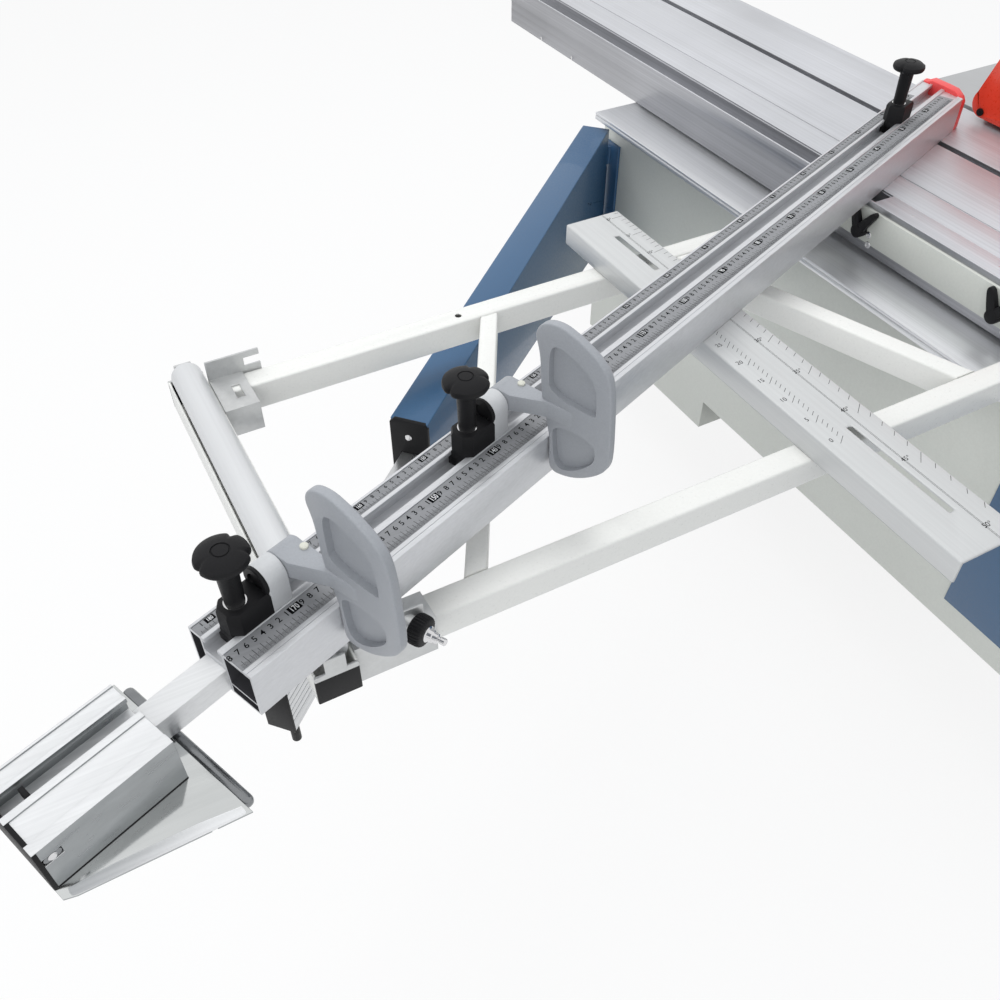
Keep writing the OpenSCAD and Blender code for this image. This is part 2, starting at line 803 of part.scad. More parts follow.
module riving_knife() color([0.7, 0.71, 0.72])
    difference() {
        out_x(-knife_t / 2, knife_t)
            difference() {
                union() {
                    rect(blade_d / 2 - 46, arbor_z - 24, knife_y, guard_pin_z + 14);
                    rect(guard_pin_y - 12, guard_pin_z, knife_y, knife_top);
                }
                translate([0, arbor_z])
                    circle(blade_d / 2 + 6, $fn = 180);
            }
        for (z = [guard_pin_z - climb, guard_pin_z + fall])
            along_x([-5, guard_pin_y, z], guard_pin_r + gap, 10);
        span([-5, guard_pin_y - guard_pin_r - gap, guard_pin_z - climb],
            [5, guard_pin_y + guard_pin_r + gap, guard_pin_z + fall]);
    }

module guard_shape(d) {
    z0 = table_h + guard_low;
    zc = z0 + guard_r;
    z1 = table_h + guard_top - d;
    y0 = -guard_front + d;
    yc = guard_rear - guard_r;
    r = guard_r - d;
    translate([yc, zc])
        circle(r, $fn = 96);
    polygon([[y0, z0 - d], [yc, z0 - d], [yc, zc], [yc + r, zc], [yc + r - (z1 - zc) / 3, z1],
        [-guard_front + 90, z1], [y0, z0 + 70]]);
}

module blade_guard() color([0.88, 0.25, 0.16]) {
    t = guard_t;
    difference() {
        union() {
            difference() {
                out_x(-guard_left, guard_left + guard_right)
                    guard_shape(0);
                out_x(-guard_left + t, guard_left + guard_right - 2 * t)
                    guard_shape(t);
                span([guard_right - t - 1, -guard_front - 1, table_h],
                    [guard_right + 1, guard_rear + 1, table_h + guard_high]);
                span([0, -guard_front - 1, table_h],
                    [guard_right + 1, -guard_front + t + 2, table_h + guard_high]);
                span([0, guard_rear - guard_r, table_h],
                    [guard_right + 1, guard_rear + 1, table_h + guard_high]);
                out_x(8, guard_right - 7)
                    polygon([[guard_pin_y + 4, table_h], [guard_rear + 1, table_h],
                        [guard_rear + 1, table_h + guard_high + guard_r - 2],
                        [guard_pin_y + 4, table_h + guard_high - 1]]);
                span([-4, guard_rear - guard_r - 8, table_h], [4, guard_rear + 1, knife_top + climb + 3]);
            }
            along_x([-guard_left + 1, guard_pin_y, guard_pin_z], 9, guard_left - 1 - knife_t / 2 - gap);
        }
        along_x([-guard_left - 1, guard_pin_y, guard_pin_z], guard_pin_r + fit, guard_left);
    }
}

module guard_screw() color([0.12, 0.12, 0.13]) {
    along_x([-guard_left - gap - 4, guard_pin_y, guard_pin_z], 7, 4);
    along_x([-guard_left - gap - 1, guard_pin_y, guard_pin_z], guard_pin_r, guard_left + 10);
    along_x([knife_t / 2 + gap, guard_pin_y, guard_pin_z], 8, 6.5);
}

module saw_blade() color([0.75, 0.76, 0.78])
    difference() {
        along_x([-blade_t / 2, 0, arbor_z], blade_d / 2, blade_t);
        along_x([-blade_t, 0, arbor_z], 15, 2 * blade_t);
    }

module arbor() color([0.5, 0.51, 0.53]) {
    t = blade_t / 2;
    along_x([-t - 12, 0, arbor_z], 15, 2 * t + 24);
    along_x([t, 0, arbor_z], flange_r, 10);
    along_x([-t - 12, 0, arbor_z], flange_r, 12);
    translate([-t - 20, 0, arbor_z])
        rotate([0, 90, 0])
            cylinder(r = 17, h = 9, $fn = 6);
    along_x([t, 0, arbor_z], arbor_r, pulley_x + pulley_w - t);
    along_x([pulley_x, 0, arbor_z], pulley_r, pulley_w);
}

module motor_pulley() color([0.5, 0.51, 0.53]) {
    along_x([pulley_x, 0, motor_z], motor_pulley_r, pulley_w);
    along_x([pulley_x, 0, motor_z], 9, motor_plate_x + 30 - pulley_x);
}

module belt_shape(t)
    hull() {
        translate([0, arbor_z])
            circle(pulley_r + t);
        translate([0, motor_z])
            circle(motor_pulley_r + t);
    }

module drive_belt() color([0.1, 0.1, 0.11])
    out_x(pulley_x + 2, pulley_w - 4)
        difference() {
            belt_shape(gap + belt_t);
            belt_shape(gap);
        }

module rip_fence_head() color([0.35, 0.37, 0.39]) {
    difference() {
        out_x(rip_x - 10, rip_head_l)
            polygon([[rail_bar_y - 36, rail_bar_z - 32], [-main_front - 4, rail_bar_z - 32],
                [-main_front - 4, table_h + 1], [-main_front + 58, table_h + 1],
                [-main_front + 58, table_h + 46], [rail_bar_y - 20, table_h + 46],
                [rail_bar_y - 36, table_h + 20]]);
        along_x([rip_x - 11, rail_bar_y, rail_bar_z], rip_r + fit, rip_head_l + 2);
        span([rip_x - 11, rail_bar_y, rail_bar_z - 12], [rip_x + rip_head_l, -main_front, rail_bar_z + 12]);
        span([rip_x - 11, -main_front - 12, rail_bar_z], [rip_x + rip_head_l, -main_front + 3, table_h]);
    }
}

module rip_fence_face() color([0.8, 0.81, 0.82]) {
    y0 = -main_front + 58;
    out_y(y0, rip_l)
        difference() {
            rect(rip_x, table_h + 1, rip_x + rip_t, table_h + rip_h);
            rect(rip_x + 3, table_h + 4, rip_x + rip_t - 3, table_h + rip_h / 2 - 2);
            rect(rip_x + 3, table_h + rip_h / 2 + 1, rip_x + rip_t - 3, table_h + rip_h - 3);
        }
}

// Cross-section of the sliding table
module table_shape() {
    t = carriage_wall;
    z0 = carriage_z;
    xr = -carriage_gap - overhang_w;
    xe = -cl + edge_wall;
    xs = xe + edge_slot_w;
    ze = table_h - edge_slot_d - t;
    t0 = -tslot_x - tslot_in / 2;
    t1 = -tslot_x + tslot_in / 2;
    difference() {
        polygon([[-cl, table_h], [-cl, table_h - side_upper], [-cl + side_step, table_h - side_upper],
            [-cl + side_step, z0], [xr, z0], [xr, table_h - overhang_t],
            [-carriage_gap - overhang_t, table_h - overhang_t], [-carriage_gap, table_h]]);
        rect(-cl + side_step + t, z0 + t + 2, xs, ze);
        rect(xs + t, z0 + t + 2, t0 - t, table_h - t);
        rect(t0, z0 + t + 2, t1, table_h - tslot_d - t);
        rect(t1 + t, z0 + t + 2, xr - t, table_h - t);
        rect(xe, table_h - edge_slot_d, xs, table_h + 1);
        rect(xe - 2, table_h - strip_t, xs + 2, table_h + 1);
        rect(-groove_x, table_h - groove_d, -groove_x + groove_w, table_h + 1);
        rect(t0, table_h - tslot_d, t1, table_h - tslot_lip);
        rect(-tslot_x - tslot_w / 2, table_h - tslot_d, -tslot_x + tslot_w / 2, table_h + 1);
        for (x = [-rod_outer, -rod_inner])
            translate([x, rod_z])
                circle(rod_r + gap);
    }
}

module sliding_table() color([0.82, 0.83, 0.84])
    out_y(-carriage_l / 2, carriage_l)
        table_shape();

module edge_strip() color([0.78, 0.79, 0.8])
    span([-cl + edge_wall - 2, strip_rear - strip_l, table_h - strip_t],
        [-cl + edge_wall + edge_slot_w + 2, strip_rear, table_h]);

module side_plate() color([0.75, 0.77, 0.73])
    out_y(-plate_front, plate_front + rear_tube_y + tube_w + 12)
        polygon([[-tube_x, table_h - plate_drop], [-tube_x, table_h - plate_drop - plate_h],
            [-plate_x, table_h - plate_drop - plate_h], [-plate_x, table_h - side_upper - 8],
            [-plate_x + side_step - gap, table_h - side_upper - 6],
            [-plate_x + side_step - gap, table_h - side_upper - gap],
            [-plate_x, table_h - side_upper - gap], [-plate_x, table_h - plate_drop]]);

// Square tube along X from the side plate to x1
module frame_tube(x1, y0) {
    difference() {
        span([-x1, y0, tube_z], [-tube_x, y0 + tube_w, tube_top]);
        span([-x1 - 1, y0 + tube_t, tube_z + tube_t], [-tube_x + 1, y0 + tube_w - tube_t, tube_top - tube_t]);
    }
}

module rear_tube() color([0.9, 0.9, 0.88])
    difference() {
        frame_tube(tube_out, rear_tube_y);
        along_z([-1171, rear_tube_y + tube_w / 2, tube_top - 9], 5, 10);
    }

module front_tube() color([0.9, 0.9, 0.88])
    difference() {
        frame_tube(tube_out, -front_tube_end);
        along_y([-plunger_x, -front_tube_end - 1, plunger_z], 5 + fit, 6);
    }

// Slanting tube between the two cross tubes
module brace(xr, xf, w) {
    y0 = -front_tube_y;
    y1 = rear_tube_y;
    difference() {
        translate([0, 0, tube_z + 0.5])
            linear_extrude(tube_h - 1)
                polygon([[-xr - w / 2, y1], [-xr + w / 2, y1], [-xf + w / 2, y0], [-xf - w / 2, y0]]);
        translate([0, 0, tube_z + 0.5 + tube_t])
            linear_extrude(tube_h - 1 - 2 * tube_t)
                polygon([[-xr - w / 2 + 3, y1 + 1], [-xr + w / 2 - 3, y1 + 1], [-xf + w / 2 - 3, y0 - 1],
                    [-xf - w / 2 + 3, y0 - 1]]);
    }
}

module frame_braces() color([0.9, 0.9, 0.88]) {
    brace(strut_rear_x, strut_front_x, 30);
    brace(brace_rear_x, brace_front_x, 34);
}

module protractor_beam() color([0.84, 0.85, 0.86])
    difference() {
        span([-beam_x - beam_w, -beam_front, tube_top], [-beam_x, beam_rear, table_h]);
        span([-beam_x - beam_w + 4, -beam_front - 1, tube_top - 1], [-beam_x - 4, beam_rear + 1, table_h - 4]);
        span([-beam_slot_x - beam_slot_w / 2, 56, table_h - 9], [-beam_slot_x + beam_slot_w / 2, 169, table_h + 1]);
        span([-beam_slot_x - beam_slot_w / 2, -537, table_h - 9], [-beam_slot_x + beam_slot_w / 2, -365, table_h + 1]);
    }

module outer_beam() color([0.9, 0.9, 0.88])
    difference() {
        span([-outer_x - outer_w, -outer_front, outer_z], [-outer_x, outer_rear, tube_top]);
        span([-outer_x - outer_w + sheet, -outer_front - 1, outer_z + sheet],
            [-outer_x - sheet, outer_rear + 1, tube_top + 1]);
    }

module outer_beam_caps() color([0.1, 0.1, 0.11]) {
    for (y = [-outer_front - cap_t, outer_rear])
        difference() {
            union() {
                span([-outer_x - outer_w, y, outer_z], [-outer_x, y + cap_t, tube_top]);
                span([-axle_x - 12, y, tube_top - 2], [-axle_x + 12, y + cap_t, axle_z + 10]);
            }
            along_y([-axle_x, y - 1, axle_z], axle_r, cap_t + 2);
        }
    along_y([-axle_x, -outer_front - cap_t, axle_z], axle_r, outer_front + outer_rear + 2 * cap_t);
}

module rear_bracket() color([0.85, 0.86, 0.87]) {
    y0 = rear_tube_y - 41;
    y1 = rear_tube_y + tube_w + sheet;
    difference() {
        span([-outer_x, y0, tube_top], [-1500, y1, tube_top + sheet]);
        span([-1524, y0 + 22, tube_top - 1], [-1513, y0 + 52, tube_top + 4]);
    }
    span([-outer_x, y0, tube_z], [-1500, y0 + sheet, tube_top + 1]);
    span([-outer_x, y0, tube_z], [-web_x, y1, tube_top + 1]);
    difference() {
        span([-outer_x, y1 - sheet, tube_z], [-1472, y1, table_h - gap - 2]);
        span([-1495, y1 - 9, tube_top + 10], [-1471, y1 + 1, table_h - 12]);
    }
}

module on_plunger()
    translate([-plunger_x, -front_tube_end - sheet, plunger_z])
        rotate([0, 0, plunger_turn])
            children();

module front_bracket() color([0.85, 0.86, 0.87]) {
    y0 = -front_tube_end - sheet;
    span([-outer_x, y0, tube_z - 12], [-1452, y0 + sheet, tube_top + 1]);
    span([-outer_x, y0, tube_top], [-1452, -front_tube_y + sheet, tube_top + sheet]);
    span([-outer_x, y0, tube_z], [-web_x, -front_tube_y + sheet, tube_top + 1]);
    difference() {
        union() {
            span([-1516, y0, tube_top], [-1466, y0 + sheet, table_h - 2.4]);
            on_plunger()
                along_y([0, -10.7, 0], 11, 12.7);
        }
        on_plunger()
            along_y([0, -20, 0], 5 + fit, 50);
    }
}

module clamp_lever(y) {
    z = table_h - 49;
    along_x([-tube_x - gap - 16, y, z], 12, 16);
    translate([-tube_x - gap - 9, y, z])
        rotate([-25, 0, 0])
            cylinder(r = 6, h = 46);
    translate([-tube_x - gap - 9, y, z])
        rotate([34.5, 0, 0])
            cylinder(r = 5, h = 53);
}

module clamp_lever_rear() color([0.1, 0.1, 0.11]) clamp_lever(58);

module clamp_lever_front() color([0.1, 0.1, 0.11]) clamp_lever(-235);

module fence_pivot() color([0.6, 0.61, 0.63]) {
    x = -tslot_x;
    w = tslot_w / 2 - gap;
    i = tslot_in / 2 - gap;
    span([x - i, pivot_y - 25, table_h - tslot_d + gap], [x + i, pivot_y + 25, table_h - tslot_lip - gap]);
    span([x - w, pivot_y - 25, table_h - tslot_d + gap], [x + w, pivot_y + 25, table_h - 0.2]);
    along_z([x, pivot_y, table_h - 1], pivot_r, 14);
}

module support_roller() color([0.62, 0.63, 0.65])
    difference() {
        along_y([-axle_x, -outer_front + 12, axle_z], roller_r, outer_front + outer_rear - 24);
        along_y([-axle_x, -outer_front + 11, axle_z], axle_r + fit, outer_front + outer_rear - 22);
    }

module index_plunger() color([0.1, 0.1, 0.11])
    on_plunger() {
        along_y([0, -28, 0], 5, 48);
        along_y([0, -28, 0], 18, 17);
    }

// Cross-section of the crosscut fence, drawn with X towards the operator and Y up
module fence_shape() {
    t = fence_wall;
    h = fence_h;
    s = h - scale_drop;
    c0 = channel_y - channel_w / 2;
    c1 = channel_y + channel_w / 2;
    b1 = bar_n + bar_w + gap;
    mirror([1, 0])
        difference() {
            rect(-fence_front, 0, fence_back, h);
            rect(-fence_front + t, t, bar_n - gap - t, 14);
            rect(-fence_front + t, 14 + t, bar_n - gap - t, s - t);
            rect(b1 + t, t, fence_back - t, s - t);
            rect(bar_n - gap, bar_z, b1, bar_z + bar_h + 2 * gap);
            rect(c0, h - channel_d, c1, h + 1);
            rect(channel_y - channel_in / 2, h - channel_d, channel_y + channel_in / 2, h - channel_lip);
            rect(-20, s, 9, h + 1);
            rect(42, s, fence_back - 3, h + 1);
        }
}

module fence_profile() color([0.83, 0.84, 0.85]) {
    difference() {
        union() {
            on_fence()
                out_x(60, fence_end - 60)
                    fence_shape();
            translate([-tslot_x, pivot_y, fence_z])
                cylinder(r = 12, h = 18);
        }
        span([-fence_clear - fence_cap_l, -100, table_h], [200, 500, table_h + 200]);
        translate([-tslot_x, pivot_y, fence_z - 1])
            cylinder(r = pivot_r + fit, h = 20);
    }
    on_fence() {
        along_z([1335, 6, -13], 6, 13);
        along_z([1335, 6, -21], 8, 9);
    }
}

module fence_end_cap() color([0.85, 0.42, 0.36])
    difference() {
        on_fence()
            difference() {
                union() {
                    out_x(20, 200)
                        mirror([1, 0])
                            rect(-fence_front, 0, fence_back, fence_h);
                    out_x(20, 200)
                        mirror([1, 0])
                            rect(-14, fence_h - 1, 44, fence_h + 6);
                }
            }
        span([-400, -200, table_h - 10], [-fence_clear - fence_cap_l, 600, table_h + 200]);
        span([-fence_clear, -200, table_h - 10], [300, 600, table_h + 200]);
    }

module extension_bar() color([0.8, 0.81, 0.82])
    on_fence()
        difference() {
            span([fence_end - bar_in, -bar_n - bar_w, bar_z + gap],
                [shoe_s + 60, -bar_n, bar_z + gap + bar_h]);
            span([fence_end - bar_in - 1, -bar_n - bar_w + 3, bar_z + gap + 3],
                [shoe_s + 61, -bar_n - 3, bar_z + gap + bar_h - 3]);
        }

module extension_shoe() color([0.83, 0.84, 0.85])
    on_fence() {
        difference() {
            out_x(shoe_s, shoe_l)
                fence_shape();
            span([shoe_s - 1, -bar_n - bar_w - gap, bar_z], [shoe_s + 61, -bar_n + gap, bar_z + bar_h + 2 * gap]);
            span([shoe_s + shoe_l - 22, fence_front - 4, 36], [shoe_s + shoe_l - 4, fence_front + 1, 46]);
        }
        difference() {
            span([shoe_s - 1, -bar_n - bar_w - gap, bar_z], [shoe_s + 60, -bar_n + gap, bar_z + bar_h + 2 * gap]);
            span([shoe_s - 2, -bar_n - bar_w, bar_z + gap], [shoe_s + 61, -bar_n, bar_z + gap + bar_h]);
        }
        translate([0, 0, -sheet_plate_t])
            linear_extrude(sheet_plate_t)
                difference() {
                    polygon([[shoe_s - 16, 103], [shoe_s - 16, -107], [shoe_s + shoe_l - 12, -107],
                        [shoe_s + shoe_l, -95], [shoe_s + shoe_l, 44], [shoe_s + shoe_l - 10, 50]]);
                    translate([shoe_s + 17, 92])
                        circle(3);
                }
    }

// Stop block on the fence, with its tenon in the channel
module block(s, w) {
    x0 = s - stop_l + stop_out;
    x1 = s + stop_out;
    y = -channel_y;
    a = channel_w / 2 - gap;
    b = channel_in / 2 - gap;
    z = fence_h + gap;
    difference() {
        union() {
            translate([0, 0, z])
                linear_extrude(stop_h)
                    polygon([[x0, y - w / 2], [x1 - stop_cut, y - w / 2], [x1, y - w / 2 + stop_cut],
                        [x1, y + w / 2 - stop_cut], [x1 - stop_cut, y + w / 2], [x0, y + w / 2]]);
            span([x0, y - a, fence_h - channel_d + gap], [x1, y + a, z + 1]);
            span([x0, y - b, fence_h - channel_d + gap], [x1, y + b, fence_h - channel_lip - gap]);
        }
        along_z([s, y, fence_h - channel_d + 5], 5 + fit, stop_h + channel_d);
    }
}

module knob(s) {
    y = -channel_y;
    z = fence_h + gap + stop_h + gap;
    along_z([s, y, z], stem_r, stem_l);
    difference() {
        along_z([s, y, z + stem_l - 1], knob_r, knob_h + 1);
        for (i = [0 : 5])
            translate([s, y, z])
                rotate([0, 0, 60 * i])
                    translate([knob_r + 5, 0, stem_l - 2])
                        cylinder(r = 9, h = knob_h + 4);
    }
    along_z([s, y, fence_h - channel_d + 6], 5, stop_h + channel_d);
}

// Hinge lug and pin of a flip stop
module lug(s) {
    x0 = s - stop_l + stop_out;
    z = fence_h + hinge_up;
    along_x([x0 - lug_w, -hinge_n, z], barrel_r, lug_w);
    span([x0 - lug_w, -hinge_n - barrel_r, fence_h + gap], [x0, -hinge_n + barrel_r, z]);
    along_x([x0 - lug_w - flip_w, -hinge_n, z], hinge_r, flip_w + 1);
}

// Flip arm of a stop, a D-shaped paddle on a flat arm
module paddle(s) {
    x1 = s - stop_l + stop_out - lug_w - gap;
    x0 = x1 - flip_w;
    y0 = fence_front + 1.5;
    z = fence_h + hinge_up;
    difference() {
        union() {
            along_x([x0, -hinge_n, z], barrel_r, flip_w);
            out_x(x0, paddle_t)
                polygon([[9, z + 97], [20, z + 117], [42, z + 121], [70, z + 114], [91, z + 103],
                    [106, z + 89], [112, z + 67], [118, z - 26], [113, z - 42], [88, z - 68], [60, z - 82],
                    [y0 + 6, z - 84], [y0, z - 78], [y0, z - 29], [21, z + 21]]);
            translate([0, 0, z + barrel_r - flip_h])
                linear_extrude(flip_h)
                    polygon([[x1, -hinge_n], [x1, -9], [x1 - 17, 29], [x0 + paddle_t, 88], [x0, 88],
                        [x0, -hinge_n]]);
        }
        along_x([x0 - 1, -hinge_n, z], hinge_r + fit, flip_w + 2);
        out_x(x0 + paddle_t - 4, 5)
            polygon([[32, z + 25], [32, z + 90], [42, z + 95], [65, z + 89], [92, z + 72], [94, z + 25]]);
        out_x(x0 + paddle_t - 4, 5)
            polygon([[y0 + 6, z - 61], [y0 + 6, z - 13], [96, z - 13], [98, z - 36], [72, z - 55]]);
    }
}

module stop_a_block() color([0.12, 0.12, 0.13])
    on_fence() {
        block(outer_stop_s, stop_w);
        lug(outer_stop_s);
    }

module stop_a_arm() color([0.55, 0.56, 0.57]) on_fence() paddle(outer_stop_s);

module stop_a_knob() color([0.1, 0.1, 0.11]) on_fence() knob(outer_stop_s);

module stop_b_block() color([0.12, 0.12, 0.13])
    on_fence() {
        block(middle_stop_s, stop_w);
        lug(middle_stop_s);
    }

module stop_b_arm() color([0.55, 0.56, 0.57]) on_fence() paddle(middle_stop_s);

module stop_b_knob() color([0.1, 0.1, 0.11]) on_fence() knob(middle_stop_s);

module inner_block() color([0.12, 0.12, 0.13]) on_fence() block(inner_stop_s, stop_w);

module inner_knob() color([0.1, 0.1, 0.11]) on_fence() knob(inner_stop_s);

module swing_arm() color([0.88, 0.89, 0.87])
    on_arm() {
        y0 = knuckle_r + 2;
        ye = y0 + arm_t;
        z = arm_top;
        l = arm_l;
        translate([0, ye, 0])
            rotate([90, 0, 0])
                linear_extrude(arm_t)
                    polygon([[14, z], [14, z - arm_root_h], [0.41 * l, z - arm_root_h + 54],
                        [0.657 * l, z - arm_root_h + 88], [l, z - arm_tip_h - 4], [l, z]]);
        span([14, ye - arm_w, z - arm_t], [l, ye, z]);
        for (x = [0.66 * l, l - 8])
            difference() {
                span([x, ye - arm_w, z - arm_tip_h], [x + 8, ye, z]);
                span([x - 1, ye - arm_t - 2 - tele_w - 2 * gap, z - tele_drop - tele_h - gap],
                    [x + 9, ye - arm_t - 2, z - tele_drop + gap]);
            }
        difference() {
            union() {
                along_z([0, 0, arm_mid - 75], knuckle_r, 150);
                span([-6, 0, arm_mid - 75], [24, y0 + 1, arm_mid + 75]);
            }
            along_z([0, 0, arm_mid - 76], pin_r + fit, 152);
        }
    }

// Cross-section of the telescopic bar, with a row of grooves in both sides
module bar_shape(y1, z1) {
    y0 = y1 - tele_w;
    difference() {
        rect(y0, z1 - tele_h, y1, z1);
        rect(y0 + 5, z1 - tele_h + 4, y1 - 5, z1 - 4);
        for (i = [1 : floor(tele_h / 11) - 1], y = [y0, y1])
            rect(y - 1.5, z1 - 11 * i, y + 1.5, z1 - 11 * i + 2);
    }
}

module arm_tube() color([0.8, 0.81, 0.82])
    on_arm() {
        y1 = knuckle_r - gap;
        z1 = arm_top - tele_drop;
        x1 = arm_l + tele_out;
        x_post = x1 - 72;
        out_x(450, x1 - 450)
            bar_shape(y1, z1);
        along_z([x_post, y1 - tele_w / 2, z1 - 1], 12, outer_z - gap - z1);
        for (z = [z1 - 1, outer_z - gap - 8])
            along_z([x_post, y1 - tele_w / 2, z], head_r, 8);
        along_z([x1 - 10, y1 - 7, z1 - tele_h - 30], 6, 31);
    }

base_frame();
beam_housing();
cabinet();
front_cover();
beam_rail();
guide_rods();
main_table();
extension_table();
rip_bar();
dust_port();
control_box();
trunnions();
arm_hinge();
cabinet_door();
start_button();
stop_button();
rise_handwheel();
tilt_handwheel();
tilt_cradle();
rise_slide();
motor();
riving_knife();
guard_screw();
blade_guard();
saw_blade();
arbor();
motor_pulley();
drive_belt();
rip_fence_head();
rip_fence_face();
sliding_table();
edge_strip();
side_plate();
rear_tube();
front_tube();
frame_braces();
protractor_beam();
outer_beam();
outer_beam_caps();
rear_bracket();
front_bracket();
clamp_lever_rear();
clamp_lever_front();
fence_pivot();
support_roller();
index_plunger();
fence_profile();
fence_end_cap();
extension_bar();
extension_shoe();
stop_a_block();
stop_a_arm();
stop_a_knob();
stop_b_block();
stop_b_arm();
stop_b_knob();
inner_block();
inner_knob();
swing_arm();
arm_tube();
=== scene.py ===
import json
import math

import bpy
from mathutils import Matrix, Vector


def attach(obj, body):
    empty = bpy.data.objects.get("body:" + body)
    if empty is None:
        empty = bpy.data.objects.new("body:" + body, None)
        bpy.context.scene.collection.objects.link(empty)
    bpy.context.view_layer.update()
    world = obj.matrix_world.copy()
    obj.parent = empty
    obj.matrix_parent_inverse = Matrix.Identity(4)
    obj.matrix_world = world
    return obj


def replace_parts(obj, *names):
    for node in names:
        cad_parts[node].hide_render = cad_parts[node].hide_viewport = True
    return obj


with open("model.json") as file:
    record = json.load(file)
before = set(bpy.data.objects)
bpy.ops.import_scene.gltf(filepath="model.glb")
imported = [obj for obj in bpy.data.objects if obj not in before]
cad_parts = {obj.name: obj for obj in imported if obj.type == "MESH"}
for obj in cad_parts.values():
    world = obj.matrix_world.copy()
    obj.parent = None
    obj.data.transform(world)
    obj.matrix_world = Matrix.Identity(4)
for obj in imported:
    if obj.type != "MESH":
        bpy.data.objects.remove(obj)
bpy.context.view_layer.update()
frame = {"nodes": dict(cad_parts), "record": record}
homes = {node: body for body, nodes in frame["record"]["behaviour"]["bodies"].items() for node in nodes}

# Camera
# The photograph was taken from above the operator's left, close to the end of the fence,
# with a normal lens and no tilt to the side. Colours are shown without a film curve.
camera_place = (-1.714, -0.999, 1.694)
forward = Vector((0.3391, 0.6264, -0.7019))
right_hand = forward.cross(Vector((0, 0, 1))).normalized()
up = right_hand.cross(forward).normalized()
lens = bpy.data.cameras.new("photo_camera")
lens.sensor_width = 36
lens.lens = 35.73
lens.clip_start = 0.05
lens.clip_end = 60
camera = bpy.data.objects.new("photo_camera", lens)
bpy.context.scene.collection.objects.link(camera)
camera.matrix_world = (Matrix.Translation(camera_place) @
                       Matrix((right_hand, up, -forward)).transposed().to_4x4())
bpy.context.scene.camera = camera
bpy.context.scene.view_settings.view_transform = "Standard"

# Studio
# A white floor runs on into a white surround. A wide lamp hangs overhead and a weaker one stands
# on the operator's side. The camera, metal and glass all see the same plain white background.
FULL_WHITE = (1, 1, 1, 1)
ROOM_TINT = (0.93, 0.96, 1, 1)
ROOM_STRENGTH = 0.62
FLOOR_PAINT = (0.86, 0.86, 0.86, 1)
FLOOR_GLOW = 0.86
world = bpy.data.worlds.new("white_room")
bpy.context.scene.world = world
world.use_nodes = True
world_nodes = world.node_tree.nodes
world_links = world.node_tree.links


def sees_white(nodes, links):
    """One for camera, glossy and transmission rays, nothing for the rest."""
    path = nodes.new("ShaderNodeLightPath")
    total = path.outputs["Is Camera Ray"]
    for ray in ("Is Glossy Ray", "Is Transmission Ray"):
        larger = nodes.new("ShaderNodeMath")
        larger.operation = "MAXIMUM"
        links.new(total, larger.inputs[0])
        links.new(path.outputs[ray], larger.inputs[1])
        total = larger.outputs[0]
    return total


room_light = world_nodes["Background"]
room_light.inputs["Color"].default_value = ROOM_TINT
room_light.inputs["Strength"].default_value = ROOM_STRENGTH
room_white = world_nodes.new("ShaderNodeBackground")
room_white.inputs["Color"].default_value = FULL_WHITE
room_white.inputs["Strength"].default_value = 1
room_mix = world_nodes.new("ShaderNodeMixShader")
world_links.new(sees_white(world_nodes, world_links), room_mix.inputs[0])
world_links.new(room_light.outputs[0], room_mix.inputs[1])
world_links.new(room_white.outputs[0], room_mix.inputs[2])
world_links.new(room_mix.outputs[0], world_nodes["World Output"].inputs["Surface"])

bpy.ops.mesh.primitive_plane_add(size=30, location=(0, 0, -0.001))
studio_floor = bpy.context.object
studio_floor.name = "studio_floor"
bpy.ops.object.transform_apply(location=True, rotation=True, scale=True)
floor_finish = bpy.data.materials.new("studio_floor")
floor_finish.use_nodes = True
floor_nodes = floor_finish.node_tree.nodes
floor_links = floor_finish.node_tree.links
floor_nodes["Principled BSDF"].inputs["Base Color"].default_value = FLOOR_PAINT
floor_nodes["Principled BSDF"].inputs["Roughness"].default_value = 0.9
floor_white = floor_nodes.new("ShaderNodeEmission")
floor_white.inputs["Strength"].default_value = 1
floor_mix = floor_nodes.new("ShaderNodeMixShader")
floor_share = floor_nodes.new("ShaderNodeMath")
floor_share.operation = "MULTIPLY"
floor_share.inputs[1].default_value = FLOOR_GLOW
floor_links.new(sees_white(floor_nodes, floor_links), floor_share.inputs[0])
floor_links.new(floor_share.outputs[0], floor_mix.inputs[0])
floor_links.new(floor_nodes["Principled BSDF"].outputs[0], floor_mix.inputs[1])
floor_links.new(floor_white.outputs[0], floor_mix.inputs[2])
floor_links.new(floor_mix.outputs[0], floor_nodes["Material Output"].inputs["Surface"])
studio_floor.data.materials.append(floor_finish)


def lamp(name, place, target, size, watts):
    """A square area lamp that looks at target and that no metal mirrors."""
    light = bpy.data.lights.new(name, "AREA")
    light.size = size
    light.energy = watts
    holder = bpy.data.objects.new(name, light)
    bpy.context.scene.collection.objects.link(holder)
    holder.visible_glossy = False
    holder.location = place
    holder.rotation_euler = (Vector(target) - Vector(place)).to_track_quat("-Z", "Y").to_euler()


fence_middle = (-0.8, 0, 0.8)
lamp("overhead", (-1.2, 1.2, 4.2), fence_middle, 3.2, 95)
lamp("operator_side", (-3.4, -2.6, 2.6), fence_middle, 2.2, 36)

# Stand
# Floor plate and plinth of welded sheet, painted dark grey, with the saw's cabinet and the housing
# of the sliding table on top. Every corner of a sheet is broken by a millimetre.
NOISE_LOW = 0.3
NOISE_HIGH = 0.7
ROUGH_SPREAD = 0.18
LONG_EDGE = 0.3


